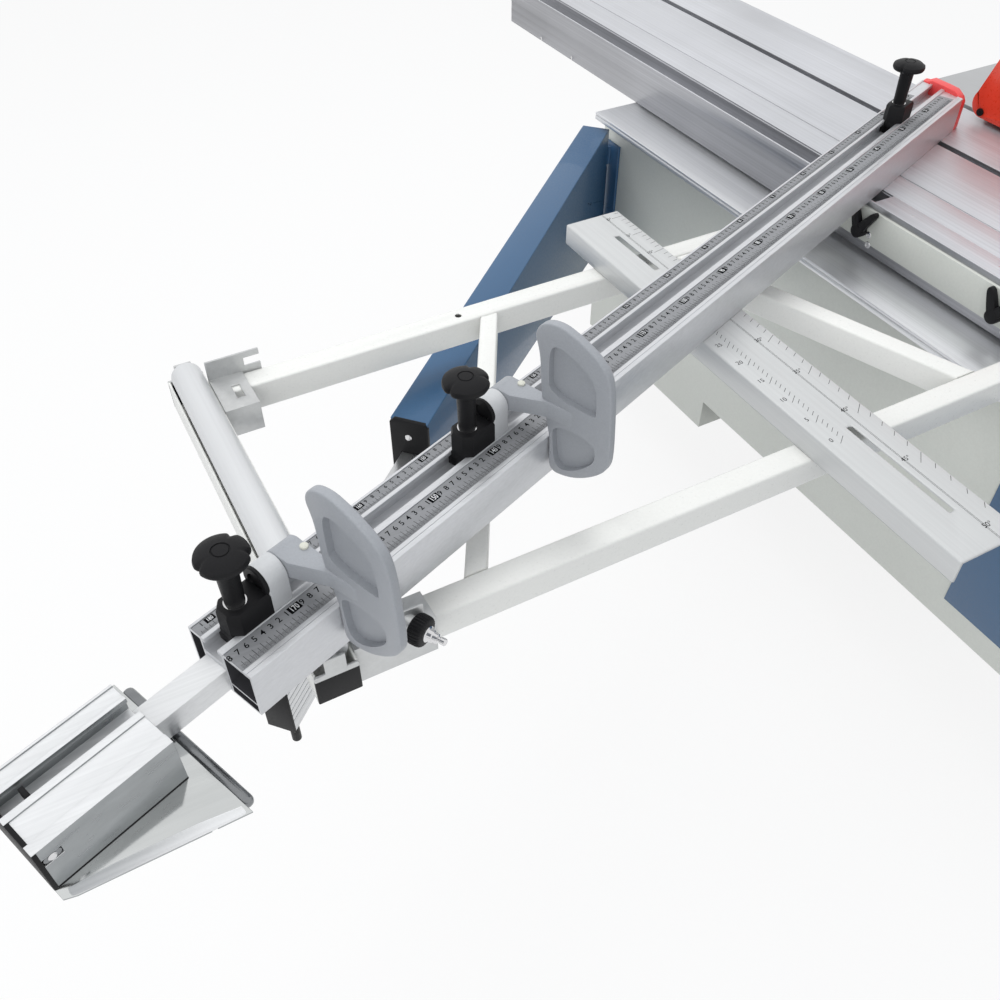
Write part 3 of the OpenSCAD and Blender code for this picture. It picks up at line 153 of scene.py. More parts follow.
def spread(nodes, links, noise, low, high):
    """The used part of a noise, stretched from low to high."""
    span = nodes.new("ShaderNodeMapRange")
    span.inputs["From Min"].default_value = NOISE_LOW
    span.inputs["From Max"].default_value = NOISE_HIGH
    span.inputs["To Min"].default_value = low
    span.inputs["To Max"].default_value = high
    links.new(noise, span.inputs["Value"])
    return span.outputs["Result"]


def finish(name, colour, metal=0.0, rough=0.45, tone=0.06, grain=(60, 60, 60), relief=0.05, turn=0.0,
           wear=0.06, coat=0.0, shine=0.5):
    """A paint, metal or plastic. Fine streaks, stretched by grain and turned with the piece, vary
    its colour by tone and give it relief and an uneven gloss. Wide clouds darken it by wear."""
    made = bpy.data.materials.new(name)
    made.use_nodes = True
    nodes = made.node_tree.nodes
    links = made.node_tree.links
    shader = nodes["Principled BSDF"]
    shader.inputs["Metallic"].default_value = metal
    shader.inputs["Coat Weight"].default_value = coat
    shader.inputs["Specular IOR Level"].default_value = shine
    place = nodes.new("ShaderNodeTexCoord")
    lay = nodes.new("ShaderNodeMapping")
    lay.inputs["Rotation"].default_value = (0, 0, math.radians(turn))
    lay.inputs["Scale"].default_value = grain
    links.new(place.outputs["Object"], lay.inputs["Vector"])
    streaks = nodes.new("ShaderNodeTexNoise")
    streaks.inputs["Scale"].default_value = 1
    streaks.inputs["Detail"].default_value = 5
    streaks.inputs["Roughness"].default_value = 0.6
    links.new(lay.outputs["Vector"], streaks.inputs["Vector"])
    clouds = nodes.new("ShaderNodeTexNoise")
    clouds.inputs["Scale"].default_value = 3.1
    clouds.inputs["Detail"].default_value = 3
    links.new(place.outputs["Object"], clouds.inputs["Vector"])
    shades = nodes.new("ShaderNodeValToRGB")
    dark, light = shades.color_ramp.elements
    dark.position = NOISE_LOW
    light.position = NOISE_HIGH
    dark.color = [c * (1 - tone) for c in colour] + [1]
    light.color = [min(1, c * (1 + tone)) for c in colour] + [1]
    links.new(streaks.outputs["Fac"], shades.inputs["Fac"])
    shade_mix = nodes.new("ShaderNodeMix")
    shade_mix.data_type = "RGBA"
    shade_mix.blend_type = "MULTIPLY"
    shade_mix.inputs["Factor"].default_value = 1
    links.new(shades.outputs["Color"], shade_mix.inputs[6])
    links.new(spread(nodes, links, clouds.outputs["Fac"], 1 - wear, 1), shade_mix.inputs[7])
    links.new(shade_mix.outputs[2], shader.inputs["Base Color"])
    gloss = spread(nodes, links, streaks.outputs["Fac"], rough * (1 - ROUGH_SPREAD),
                   rough * (1 + ROUGH_SPREAD))
    links.new(gloss, shader.inputs["Roughness"])
    bump = nodes.new("ShaderNodeBump")
    bump.inputs["Strength"].default_value = relief
    bump.inputs["Distance"].default_value = 0.001
    links.new(streaks.outputs["Fac"], bump.inputs["Height"])
    links.new(bump.outputs["Normal"], shader.inputs["Normal"])
    return made


def dress(node, made):
    """A CAD node that keeps its own shape gets a material."""
    piece = frame["nodes"][node]
    piece.data.materials.clear()
    piece.data.materials.append(made)


def quiet():
    """Nothing is selected."""
    bpy.ops.object.select_all(action="DESELECT")


def pick(piece):
    """One piece is selected and active, and nothing else."""
    quiet()
    piece.select_set(True)
    bpy.context.view_layer.objects.active = piece


def edit_all():
    """Edit mode on the active piece, with all of its mesh selected."""
    bpy.ops.object.mode_set(mode="EDIT")
    bpy.ops.mesh.select_all(action="SELECT")


def end_edit():
    """Back to object mode."""
    bpy.ops.object.mode_set(mode="OBJECT")


def rounded(piece, width, segments, angle=30):
    """The edges of the active piece that are sharper than angle are rounded by width."""
    rounding = piece.modifiers.new("rounding", "BEVEL")
    rounding.width = width
    rounding.segments = segments
    rounding.limit_method = "ANGLE"
    rounding.angle_limit = math.radians(angle)
    return rounding


def crisp(node, made, edge=0.001, run=0.0, other=None, where=None, smooth=35):
    """The look of a piece: its CAD mesh, cleaned, with broken edges. Edges along the piece are
    rounded by run, all others by edge. Faces for which where() is true get the other finish."""
    source = frame["nodes"][node]
    mesh = source.data.copy()
    mesh.transform(source.matrix_world)
    piece = bpy.data.objects.new(node + "_look", mesh)
    bpy.context.scene.collection.objects.link(piece)
    pick(piece)
    edit_all()
    bpy.ops.mesh.remove_doubles(threshold=0.00002)
    bpy.ops.mesh.dissolve_limited(angle_limit=math.radians(0.5))
    if run:
        bpy.ops.mesh.select_all(action="DESELECT")
        bpy.ops.mesh.select_mode(type="EDGE")
        bpy.ops.mesh.edges_select_sharp(sharpness=math.radians(60))
        end_edit()
        for side in mesh.edges:
            a, b = (mesh.vertices[v].co for v in side.vertices)
            side.select = side.select and (a - b).length > LONG_EDGE
        bpy.ops.object.mode_set(mode="EDIT")
        bpy.ops.mesh.bevel(offset=run, segments=3, affect="EDGES")
        bpy.ops.mesh.select_mode(type="VERT")
    end_edit()
    if edge:
        rounding = rounded(piece, edge, 2, 40)
        rounding.use_clamp_overlap = False
        bpy.ops.object.modifier_apply(modifier="rounding")
    bpy.ops.object.shade_smooth_by_angle(angle=math.radians(smooth))
    mesh.materials.clear()
    mesh.materials.append(made)
    if other:
        mesh.materials.append(other)
        for face in mesh.polygons:
            face.material_index = 1 if where(face) else 0
    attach(piece, homes[node])
    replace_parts(piece, node)
    return piece


def looks_up(face):
    """The upper side of a table or profile."""
    return face.normal.z > 0.9


dark_paint = finish("dark_paint", (0.1, 0.11, 0.12), rough=0.5, grain=(140, 140, 140), relief=0.12)
pale_paint = finish("pale_paint", (0.63, 0.645, 0.6), rough=0.38, grain=(220, 220, 220), tone=0.03,
                    relief=0.06)
crisp("base_frame", dark_paint, 0.0011)
for node in ("cabinet", "beam_housing", "cabinet_door"):
    crisp(node, pale_paint, 0.0011)

# Blue sheets
# The cover on the side of the housing, the swing arm and its hinge are folded sheet in a blue
# enamel with a clear gloss. The arm's long folds are rounder than its cut edges.
blue_paint = finish("blue_paint", (0.032, 0.1, 0.205), rough=0.4, grain=(240, 240, 240), tone=0.05,
                    relief=0.05, coat=0.25)
crisp("front_cover", blue_paint, 0.001)
crisp("arm_hinge", blue_paint, 0.001)
crisp("swing_arm", blue_paint, 0.0008, 0.002)

# White tubes
# The outrigger's square tubes and its outer beam are welded steel with a slightly warm white
# powder coat. Drawn tube has round long edges.
white_paint = finish("white_paint", (0.8, 0.8, 0.77), rough=0.32, grain=(260, 260, 260), tone=0.02,
                     relief=0.06, wear=0.03)
for node in ("rear_tube", "front_tube"):
    crisp(node, white_paint, 0.0008, 0.0035)
crisp("frame_braces", white_paint, 0.0006, 0.0035)
crisp("outer_beam", white_paint, 0.0008)
crisp("side_plate", pale_paint, 0.0008)

# Guide rail and rods
# Extruded aluminium rail, bolted to the housing, with two ground steel rods on top of it, on which
# the table runs. The rip bar and the fence's pivot are bright steel too.
rail_metal = finish("rail_metal", (0.72, 0.73, 0.75), metal=0.65, rough=0.35, grain=(260, 1.5, 260),
                    tone=0.07, relief=0.05)
rod_steel = finish("rod_steel", (0.55, 0.56, 0.58), metal=1, rough=0.2, grain=(400, 20, 400), tone=0.05)
crisp("beam_rail", rail_metal, 0.001)
for node in ("guide_rods", "rip_bar", "fence_pivot"):
    dress(node, rod_steel)

# Sliding table
# A wide hollow aluminium profile, milled bright on top, with a T-slot and a deep slot at its
# left edge that a screwed strip closes on the operator's side. Its sides are left as extruded; their darker
# colour is partly that finish and partly painted shade.
table_top = finish("table_top", (0.62, 0.63, 0.66), metal=0.55, rough=0.45, grain=(230, 1.1, 230), tone=0.1,
                   relief=0.1, wear=0.15)
# Darker than the top partly as extruded metal and partly as painted shade on the sides.
side_extruded_and_shaded = finish("side_extruded_and_shaded", (0.46, 0.465, 0.49), metal=0.85, rough=0.36, grain=(230, 1.1, 230),
                    tone=0.16, relief=0.12, wear=0.2)
crisp("sliding_table", side_extruded_and_shaded, 0.0008, 0, table_top, looks_up)
crisp("edge_strip", table_top, 0.0005)

# Tables on the rip side
# Cast iron table, raw below and ground on top, and an extension of folded and painted sheet that
# is screwed to its side.
cast_metal = finish("cast_metal", (0.5, 0.51, 0.52), metal=0.8, rough=0.38, grain=(300, 12, 300), tone=0.08,
                    relief=0.1)
raw_cast = finish("raw_cast", (0.3, 0.31, 0.32), metal=0.3, rough=0.6, grain=(180, 180, 180), tone=0.12,
                  relief=0.4)
crisp("main_table", raw_cast, 0.0015, 0, cast_metal, looks_up)
crisp("extension_table", pale_paint, 0.0015)

# Saw unit
# Raw castings that tilt and rise below the tables, with the motor, its rubber belt and the steel
# arbor, pulley, riving knife and blade on them.
for node in ("trunnions", "tilt_cradle", "rise_slide"):
    crisp(node, raw_cast, 0.0012)
dress("motor", dark_paint)
dress("drive_belt", finish("belt_rubber", (0.02, 0.02, 0.02), rough=0.7, relief=0.3))
for node in ("arbor", "motor_pulley", "riving_knife", "saw_blade"):
    dress(node, rod_steel)

# Blade guard
# Orange-red hood of moulded plastic over the blade. A black screw at its rear holds it to the
# riving knife.
guard_paint = finish("guard_paint", (0.74, 0.055, 0.025), rough=0.3, grain=(200, 200, 200), tone=0.03,
                     relief=0.04, coat=0.3)
black_plastic = finish("black_plastic", (0.008, 0.008, 0.009), rough=0.5, grain=(700, 700, 700), tone=0.2,
                       relief=0.15, shine=0.2)
crisp("blade_guard", guard_paint, 0.0012)
crisp("guard_screw", black_plastic, 0.0006)

# Rip fence, buttons, wheels and hose port
# The usual pieces on the operator's side: a cast fence head with an extruded face, and black
# moulded plastic for the button box, the port and the handwheels. Buttons are green and red.
crisp("rip_fence_head", raw_cast, 0.0015)
crisp("rip_fence_face", rail_metal, 0.0005)
crisp("control_box", black_plastic, 0.0025)
crisp("dust_port", black_plastic, 0.001)
crisp("rise_handwheel", black_plastic, 0.0018)
crisp("tilt_handwheel", black_plastic, 0.0018)
crisp("start_button", finish("green_plastic", (0.03, 0.35, 0.09), rough=0.35), 0.001)
crisp("stop_button", finish("red_plastic", (0.6, 0.03, 0.02), rough=0.35), 0.001)

# Brackets, caps and protractor
# The brackets are folded and plated sheet. So are the ears that carry the roller, above the black
# caps of the outer beam. The protractor is a channel of anodised aluminium.
plated_steel = finish("plated_steel", (0.6, 0.61, 0.61), metal=0.7, rough=0.35, grain=(120, 120, 120),
                      tone=0.06)
crisp("rear_bracket", plated_steel, 0.0006)
crisp("front_bracket", plated_steel, 0.0006)
CAP_TOP = 0.8385
caps = crisp("outer_beam_caps", black_plastic, 0.0012)
edit_all()
bpy.ops.mesh.bisect(plane_co=(0, 0, CAP_TOP), plane_no=(0, 0, 1))
end_edit()
caps.data.materials.append(plated_steel)
for face in caps.data.polygons:
    face.material_index = 1 if face.center.z > CAP_TOP + 0.0001 else 0
scale_metal = finish("scale_metal", (0.62, 0.63, 0.63), metal=0.35, rough=0.4, grain=(240, 2, 240), tone=0.05)
crisp("protractor_beam", scale_metal, 0.0006, 0.003)

# Crosscut fence
# Extruded and anodised profile with a stop channel and two rule seats. A fine groove runs along
# its top beside the rule, and a flat bar slides in it for longer work.
TURN = 21.5
TOP = 60.6
LENGTH = 1782
PIVOT = (-0.015, 0.26, 0.8804)
fence_metal = finish("fence_metal", (0.66, 0.67, 0.69), metal=0.65, rough=0.42, grain=(1.2, 260, 260),
                     tone=0.06, relief=0.05, turn=-TURN, wear=0.04)
bright_metal = finish("bright_metal", (0.78, 0.79, 0.8), metal=0.6, rough=0.35, grain=(1.2, 260, 260),
                      tone=0.06, relief=0.05, turn=-TURN, wear=0.04)
on_fence = Matrix.Translation(PIVOT) @ Matrix.Rotation(math.radians(180 + TURN), 4, "Z")


def settle(piece, place, made, body, smooth=35):
    """The mesh goes to its place on the machine, the object itself stays at the origin."""
    piece.data.transform(place @ piece.matrix_world)
    piece.matrix_world = Matrix.Identity(4)
    pick(piece)
    if smooth:
        bpy.ops.object.shade_smooth_by_angle(angle=math.radians(smooth))
    piece.data.materials.clear()
    piece.data.materials.append(made)
    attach(piece, body)
    return piece


def metres(*sizes):
    """Millimetres in metres."""
    return [size / 1000 for size in sizes]


def bar(name, low, high, edge=0.0006, rounds=2):
    """A block between two corners, in millimetres, with rounded edges."""
    quiet()
    middle = [(a + b) / 2 for a, b in zip(low, high)]
    bpy.ops.mesh.primitive_cube_add(size=1, location=metres(*middle))
    piece = bpy.context.object
    piece.name = name
    piece.scale = metres(*[b - a for a, b in zip(low, high)])
    bpy.ops.object.transform_apply(location=True, rotation=True, scale=True)
    if edge:
        edit_all()
        bpy.ops.mesh.bevel(offset=edge, segments=rounds, affect="EDGES")
        end_edit()
    return piece


def cut(piece, cutter):
    """The cutter's form is taken out of the piece, and the cutter goes."""
    pick(piece)
    carve = piece.modifiers.new("cut", "BOOLEAN")
    carve.operation = "DIFFERENCE"
    carve.solver = "EXACT"
    carve.object = cutter
    bpy.ops.object.modifier_apply(modifier="cut")
    bpy.data.objects.remove(cutter)


# Painted shade: a near-black finish for the fence's chamber walls and the clamp under it, where shade falls.
shade = finish("fence_painted_shade", (0.05, 0.05, 0.055), rough=0.7, shine=0.1)


def hollow(face):
    """The walls of the chambers and the clamp below the profile, which are hardly lit and get a dark
    finish as painted shade. The cut end and the stop channel keep the fence's bright metal."""
    n, z = [1000 * v for v in (on_fence.inverted() @ face.center)[1:3]]
    end = abs((on_fence.inverted().to_3x3() @ face.normal).x) > 0.9
    channel = z > 38 and -43 < n < -11
    chamber = 2 < z < 55 and -59 < n < 30 and not end and not channel
    return z < -0.2 or chamber


profile = crisp("fence_profile", fence_metal, 0.0005, 0, shade, hollow)
groove = bar("groove", (100, 25.2, TOP - 0.6), (LENGTH + 20, 26, TOP + 2), 0)
groove.data.transform(on_fence)
cut(profile, groove)
crisp("extension_bar", bright_metal, 0.0005)

# Rules on the fence
# Two rules of satin aluminium lie in the seats of the fence. Each has a millimetre scale with
# generic centimetre figures and a dark field with light figures at every tenth.
rule_metal = finish("rule_metal", (0.27, 0.275, 0.285), rough=0.5, grain=(2, 300, 300), tone=0.08, turn=-TURN,
                    shine=0.25)
print_black = finish("print_black", (0.004, 0.004, 0.005), rough=0.8, tone=0.1, shine=0.05)
print_white = finish("print_white", (0.75, 0.76, 0.77), rough=0.8, tone=0.03, shine=0.1)
SEAT = TOP - 2
STEP = 10


def melt(piece, *others):
    """Pieces of one casting become one mesh."""
    pick(piece)
    for other in others:
        other.select_set(True)
    bpy.ops.object.join()
    return piece


def printed(name, pieces, place, made, body):
    """Marks or figures of one print become one piece."""
    whole = melt(*pieces)
    whole.name = name
    return settle(whole, place, made, body, smooth=0)


def letter(words, height, place, bold=0.0, steps=12):
    """Figures of a height in millimetres as a flat mesh, with their middle at place."""
    quiet()
    bpy.ops.object.text_add(location=(0, 0, 0))
    sign = bpy.context.object
    sign.data.body = words
    sign.data.size = height / 1000
    sign.data.align_x = "CENTER"
    sign.data.align_y = "CENTER"
    sign.data.resolution_u = steps
    sign.data.offset = height * bold / 1000
    bpy.ops.object.convert(target="MESH")
    sign.data.transform(place)
    return sign


def figures(name, words, height, squeeze, made):
    """Figures read from the operator's side: each is (text, s, n, z) on the fence."""
    signs = [letter(text, height, Matrix.Translation(metres(s, n, z)) @ Matrix.Diagonal((-squeeze, -1, 1, 1)),
                    bold=0.012, steps=2) for text, s, n, z in words]
    return printed(name, signs, on_fence, made, "fence")


def line(place):
    """A printed line: a flat square, which place shapes."""
    quiet()
    bpy.ops.mesh.primitive_plane_add(size=1, location=(0, 0, 0))
    mark = bpy.context.object
    mark.data.transform(place)
    return mark


def ticks(start, stop, step, low, high, width, z):
    """A row of printed lines across the rule, from low to high and width wide."""
    mark = line(Matrix.Translation(metres(start, (low + high) / 2, z)) @
                Matrix.Diagonal(metres(width, high - low) + [1, 1]))
    row = mark.modifiers.new("row", "ARRAY")
    row.use_relative_offset = False
    row.use_constant_offset = True
    row.constant_offset_displace = metres(step, 0, 0)
    row.count = int((stop - start) / step) + 1
    bpy.ops.object.modifier_apply(modifier="row")
    return mark


def scale_rule(rule, inner, low, high, shift, size, wide, deep):
    """One rule from inner to the fence's end and from low to high across it. Its figures are size
    high and start shift millimetres off, and every tenth stands in a field of wide by deep."""
    settle(bar("rule_" + rule, (inner, low, SEAT), (LENGTH - 1, high, SEAT + 0.8), 0.0002, 1), on_fence,
           rule_metal, "fence")
    face = SEAT + 0.86
    tall = high - low
    begin = math.ceil((inner + 2 - shift) / STEP) * STEP + shift
    kinds = ((0, STEP, 0.46, 0.5), (5, STEP, 0.36, 0.4), (1, 1, 0.24, 0.22))
    marks = [ticks(begin + first, LENGTH - 4, step, high - share * tall, high - 1, width, face)
             for first, step, share, width in kinds]
    printed("marks_" + rule, marks, on_fence, print_black, "fence")
    small = []
    large = []
    fields = []
    row = low + 0.27 * tall
    s = begin
    while s < LENGTH - 1:
        count = round((s - shift) / STEP)
        if count % 10:
            small.append((str(count % 10), s, row, face))
        else:
            large.append((str(count), s, row, face + 0.08))
            low_corner = (s - wide, row - deep, face - 0.02)
            fields.append(bar("field", low_corner, (s + wide, row + deep, face + 0.04), 0))
        s += STEP
    figures("figures_" + rule, small, size, 1, print_black)
    figures("tens_" + rule, large, size, 0.68, print_white)
    printed("fields_" + rule, fields, on_fence, print_black, "fence")


scale_rule("front", 120, -8.5, 19.5, 0, 10, 7, 4.7)
scale_rule("back", 150, -57.5, -42.5, -38.3, 7, 5.4, 3.5)

# Stops
# Black moulded blocks slide in the fence's channel. A lobed knob clamps each one, and on two of
# them a grey cast paddle flips about a pin in a pale lug with a black eyelet.
lug_paint = finish("lug_paint", (0.6, 0.61, 0.62), rough=0.4, grain=(320, 320, 320), tone=0.03, relief=0.15)
paddle_paint = finish("paddle_paint", (0.34, 0.355, 0.38), rough=0.4, grain=(420, 420, 420), tone=0.05,
                      relief=0.5)
chrome = finish("chrome", (0.7, 0.7, 0.71), metal=1, rough=0.12, tone=0.03)
rubber_white = finish("rubber_white", (0.66, 0.66, 0.58), rough=0.6)
MID = -27
HALF = 17
BLOCK = 30
BLOCK_BACK = 28
BLOCK_FRONT = 18
HINGE = TOP + 35
KNOB_STEM = 0.017
KNOB_RIM = 0.007


def turned(name, profile, steps=48, axis="Z", centre=(0, 0, 0)):
    """A turned piece: a line of (radius, height) points in millimetres, spun round its axis."""
    quiet()
    bpy.ops.mesh.primitive_plane_add(size=0.001)
    piece = bpy.context.object
    piece.name = name
    edit_all()
    bpy.ops.mesh.delete(type="VERT")
    end_edit()
    mesh = piece.data
    mesh.vertices.add(len(profile))
    for vertex, (radius, height) in zip(mesh.vertices, profile):
        vertex.co = metres(radius, 0, height)
    mesh.edges.add(len(profile) - 1)
    for i, edge in enumerate(mesh.edges):
        edge.vertices = (i, i + 1)
    edit_all()
    bpy.ops.mesh.spin(steps=steps, angle=math.tau, center=(0, 0, 0), axis=(0, 0, 1))
    bpy.ops.mesh.select_all(action="SELECT")
    bpy.ops.mesh.remove_doubles(threshold=0.00001)
    bpy.ops.mesh.normals_make_consistent(inside=False)
    end_edit()
    turn = {"X": Matrix.Rotation(math.pi / 2, 4, "Y"), "Y": Matrix.Rotation(-math.pi / 2, 4, "X"),
            "Z": Matrix.Identity(4)}[axis]
    mesh.transform(Matrix.Translation(metres(*centre)) @ turn)
    return piece


def bevel_chosen(width, segments):
    """The chosen edges of the active piece are rounded."""
    bpy.ops.object.mode_set(mode="EDIT")
    bpy.ops.mesh.select_mode(type="EDGE")
    bpy.ops.mesh.bevel(offset=width, segments=segments, affect="EDGES")
    bpy.ops.mesh.select_mode(type="VERT")
    end_edit()


def heights(piece, side):
    """The heights of an edge's two ends in millimetres."""
    return [piece.data.vertices[v].co.z * 1000 for v in side.vertices]


def slab(name, outline, low, high, edge=0.0, rounds=3, stand="Z"):
    """A plate cut to an outline in millimetres and drawn out from low to high along stand."""
    quiet()
    bpy.ops.mesh.primitive_circle_add(vertices=len(outline), radius=0.01, fill_type="NGON")
    piece = bpy.context.object
    piece.name = name
    for vertex, (across, along) in zip(piece.data.vertices, outline):
        vertex.co = metres(across, along, low)
    edit_all()
    bpy.ops.mesh.extrude_region_move(TRANSFORM_OT_translate={"value": metres(0, 0, high - low)})
    bpy.ops.mesh.select_all(action="SELECT")
    bpy.ops.mesh.normals_make_consistent(inside=False)
    bpy.ops.mesh.select_all(action="DESELECT")
    end_edit()
    if edge:
        for side in piece.data.edges:
            first, last = heights(piece, side)
            side.select = abs(first - last) < 0.001
        bevel_chosen(edge, rounds)
    if stand == "X":
        piece.data.transform(Matrix(((0, 0, 1, 0), (1, 0, 0, 0), (0, 1, 0, 0), (0, 0, 0, 1))))
    return piece


def softened(points, rounds=2):
    """A polygon with its corners cut again and again until it is a smooth outline."""
    for _ in range(rounds):
        fresh = []
        for i, here in enumerate(points):
            after = points[(i + 1) % len(points)]
            for share in (0.25, 0.75):
                fresh.append(tuple((1 - share) * a + share * b for a, b in zip(here, after)))
        points = fresh
    return points


def stop_knob(name, s, body):
    """The stem and the head of a knob above s on the fence. Its rim has dips for the fingers."""
    base = TOP + 0.6 + BLOCK
    shell = turned(name, [(0, base), (9.6, base), (10, base + 1), (11.2, base + 49), (13, base + 53),
                          (19, base + 55), (25, base + 57.5), (26.3, base + 60), (26.5, base + 62.5),
                          (25.6, base + 65.5), (21, base + 68.3), (14, base + 70.2), (9.2, base + 70.8),
                          (8.7, base + 69.8), (7.9, base + 69.8), (7.4, base + 70.7), (0, base + 71)],
                   steps=96)
    for vertex in shell.data.vertices:
        out = math.hypot(vertex.co.x, vertex.co.y)
        if out > KNOB_STEM:
            around = math.atan2(vertex.co.y, vertex.co.x)
            dip = max(0, math.cos(2.5 * around + 0.3)) ** 24
            keep = 1 - 0.15 * dip * min(1, (out - KNOB_STEM) / KNOB_RIM)
            vertex.co.x *= keep
            vertex.co.y *= keep
    shell.data.transform(Matrix.Translation(metres(s, MID, 0)))
    return settle(shell, on_fence, black_plastic, body, smooth=40)


def stop_block(name, s, body):
    """A block with its tenon in the channel and a bright ring round the stem of its knob."""
    low = s - BLOCK_BACK
    high = s + BLOCK_FRONT
    base = TOP + 0.3
    shell = slab(name, [(low, MID - HALF), (high - 9, MID - HALF), (high, MID - 8), (high, MID + 8),
                        (high - 9, MID + HALF), (low, MID + HALF)], base, base + BLOCK)
    for side in shell.data.edges:
        side.select = min(heights(shell, side)) > base + 1
    bpy.context.view_layer.objects.active = shell
    bevel_chosen(0.006, 2)
    mouth = bar("tenon", (low, MID - 9.7, 41), (high, MID + 9.7, base + 1), 0.0004)
    foot = bar("tenon_foot", (low, MID - 14.2, 41), (high, MID + 14.2, 54), 0.0004)
    ring = turned("collar", [(9.9, base + 29.8), (11.4, base + 29.9), (11.4, base + 30.3), (9.9, base + 30.5),
                             (9.9, base + 29.8)], 48, centre=(s, MID, 0))
    settle(ring, on_fence, chrome, body)
    ring.name = name + "_ring"
    return settle(melt(shell, mouth, foot), on_fence, black_plastic, body)


def stop_lug(name, s, body):
    """The pale lug on a block, round at its top, with the black eyelet and the pin through it."""
    outer = s - BLOCK_BACK
    half = [(HALF * math.cos(math.radians(a)), HALF * math.sin(math.radians(a))) for a in range(0, 181, 12)]
    side = [(MID + a, HINGE + b) for a, b in half] + [(MID - HALF, TOP + 0.3), (MID + HALF, TOP + 0.3)]
    settle(slab(name, side, outer - 24, outer, 0.0012, 3, stand="X"), on_fence, lug_paint, body)
    eyelet = turned(name + "_eyelet", [(0, 0), (17.2, 0), (17.2, 3), (16.2, 4), (10.5, 4), (9.7, 3),
                                       (9.2, 1.4), (0, 1.4)], 48, axis="X", centre=(outer - 0.6, MID, HINGE))
    settle(eyelet, on_fence, black_plastic, body)
    pin = turned(name + "_pin", [(0, 0), (6.3, 0), (7, 0.7), (7, 29.3), (6.3, 30), (0, 30)], 32, axis="X",
                 centre=(outer - 53.7, MID, HINGE))
    settle(pin, on_fence, chrome, body)


def stop_paddle(name, s, body):
    """A cast paddle with two pockets, on an arm with a round boss at the hinge and a pale dot."""
    out = s - BLOCK_BACK - 24.3
    z = TOP + 42
    rim = [(9, z + 90), (13, z + 103), (24, z + 112), (42, z + 115), (58, z + 111), (74, z + 105),
           (92, z + 95), (106, z + 82), (112, z + 62), (115, z + 27), (118, z - 33), (113, z - 50),
           (102, z - 63), (86, z - 76), (70, z - 85), (54, z - 90), (42, z - 91), (34.5, z - 84),
           (34, z - 60), (33.6, z - 40), (26, z - 10), (20, z + 14), (17, z + 60), (14, z + 76)]
    plate = slab(name, softened(rim, 2), out - 31, out - 20, 0.0022, 3, stand="X")
    upper = [(32, z + 22), (30, z + 50), (30, z + 82), (41, z + 89), (60, z + 84), (80, z + 73), (93, z + 60),
             (96, z + 24), (94, z + 18)]
    lower = [(42, z - 72), (39, z - 45), (38, z - 22), (64, z - 16), (96, z - 18), (100, z - 42),
             (84, z - 62), (66, z - 76), (50, z - 81)]
    for pocket in (upper, lower):
        cut(plate, slab("pocket", softened(pocket, 2), out - 28.3, out - 15, stand="X"))
    arm = slab("arm", [(out, MID), (out, -9), (out - 17, 29), (out - 22, 88), (out - 28, 92),
                       (out - 29.8, 88), (out - 29.8, MID)], HINGE - 5, HINGE + 17, 0.0016, 2)
    boss = turned("boss", [(7.05, 0), (16, 0), (16.9, 1), (16.9, 29), (16, 30), (7.05, 30), (7.05, 0)], 48,
                  axis="X", centre=(out - 30, MID, HINGE))
    whole = melt(plate, arm, boss)
    settle(whole, on_fence, paddle_paint, body, smooth=32)
    dot = turned(name + "_dot", [(0, 0), (4.4, 0), (4.4, 2.4), (3, 3.6), (0, 4)], 24,
                 centre=(out - 25, -12, HINGE + 16.6))
    settle(dot, on_fence, rubber_white, body)
    return whole


for tag, s in (("a", 1745), ("b", 1415)):
    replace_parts(stop_block("stop_" + tag, s, "stop_" + tag), "stop_" + tag + "_block")
    stop_lug("lug_" + tag, s, "stop_" + tag)
    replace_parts(stop_paddle("paddle_" + tag, s, "flip_" + tag), "stop_" + tag + "_arm")
    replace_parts(stop_knob("knob_" + tag, s, "knob_" + tag), "stop_" + tag + "_knob")
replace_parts(stop_block("stop_c", 275, "stop_c"), "inner_block")
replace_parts(stop_knob("knob_c", 275, "knob_c"), "inner_knob")

# End cap of the fence
# A salmon-red moulding closes the inner end of the fence. Its upper edge rises in a low arch
# over the channel, and a small nub on its front keeps the work off the blade.
cap_shape = [(32, 0), (32, 50), (27, 58), (12, 66.4), (-14, 66.6), (-40, 66.2), (-50, 61), (-58, 60.6),
             (-61, 58), (-61, 0)]
cap_plastic = finish("cap_plastic", (0.8, 0.07, 0.07), rough=0.4, tone=0.04, relief=0.05)
cap = slab("fence_cap", cap_shape, 60, 130, stand="X")
settle(cap, on_fence, cap_plastic, "fence", smooth=30)
for side, outward in ((-0.105, False), (-0.086, True)):
    pick(cap)
    edit_all()
    bpy.ops.mesh.bisect(plane_co=(side, 0, 0), plane_no=(1, 0, 0), use_fill=True, clear_inner=not outward,
                        clear_outer=outward)
    end_edit()
rounded(cap, 0.0012, 3)
bpy.ops.object.modifier_apply(modifier="rounding")
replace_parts(cap, "fence_end_cap")
nub = turned("fence_nub", [(0, 0), (5.5, 0), (6, 1), (6, 5), (4.5, 7.5), (0, 8.5)], 32, axis="Y")
nub.data.transform(Matrix.Rotation(math.pi, 4, "Z"))
settle(nub, Matrix.Translation((-0.094, 0.2585, 0.9)), cap_plastic, "fence")

# Screws
# Pan-head screws, zinc plated, hold the side plate to the table and the strip in its slot. Each
# head is turned, and its cross cut in.


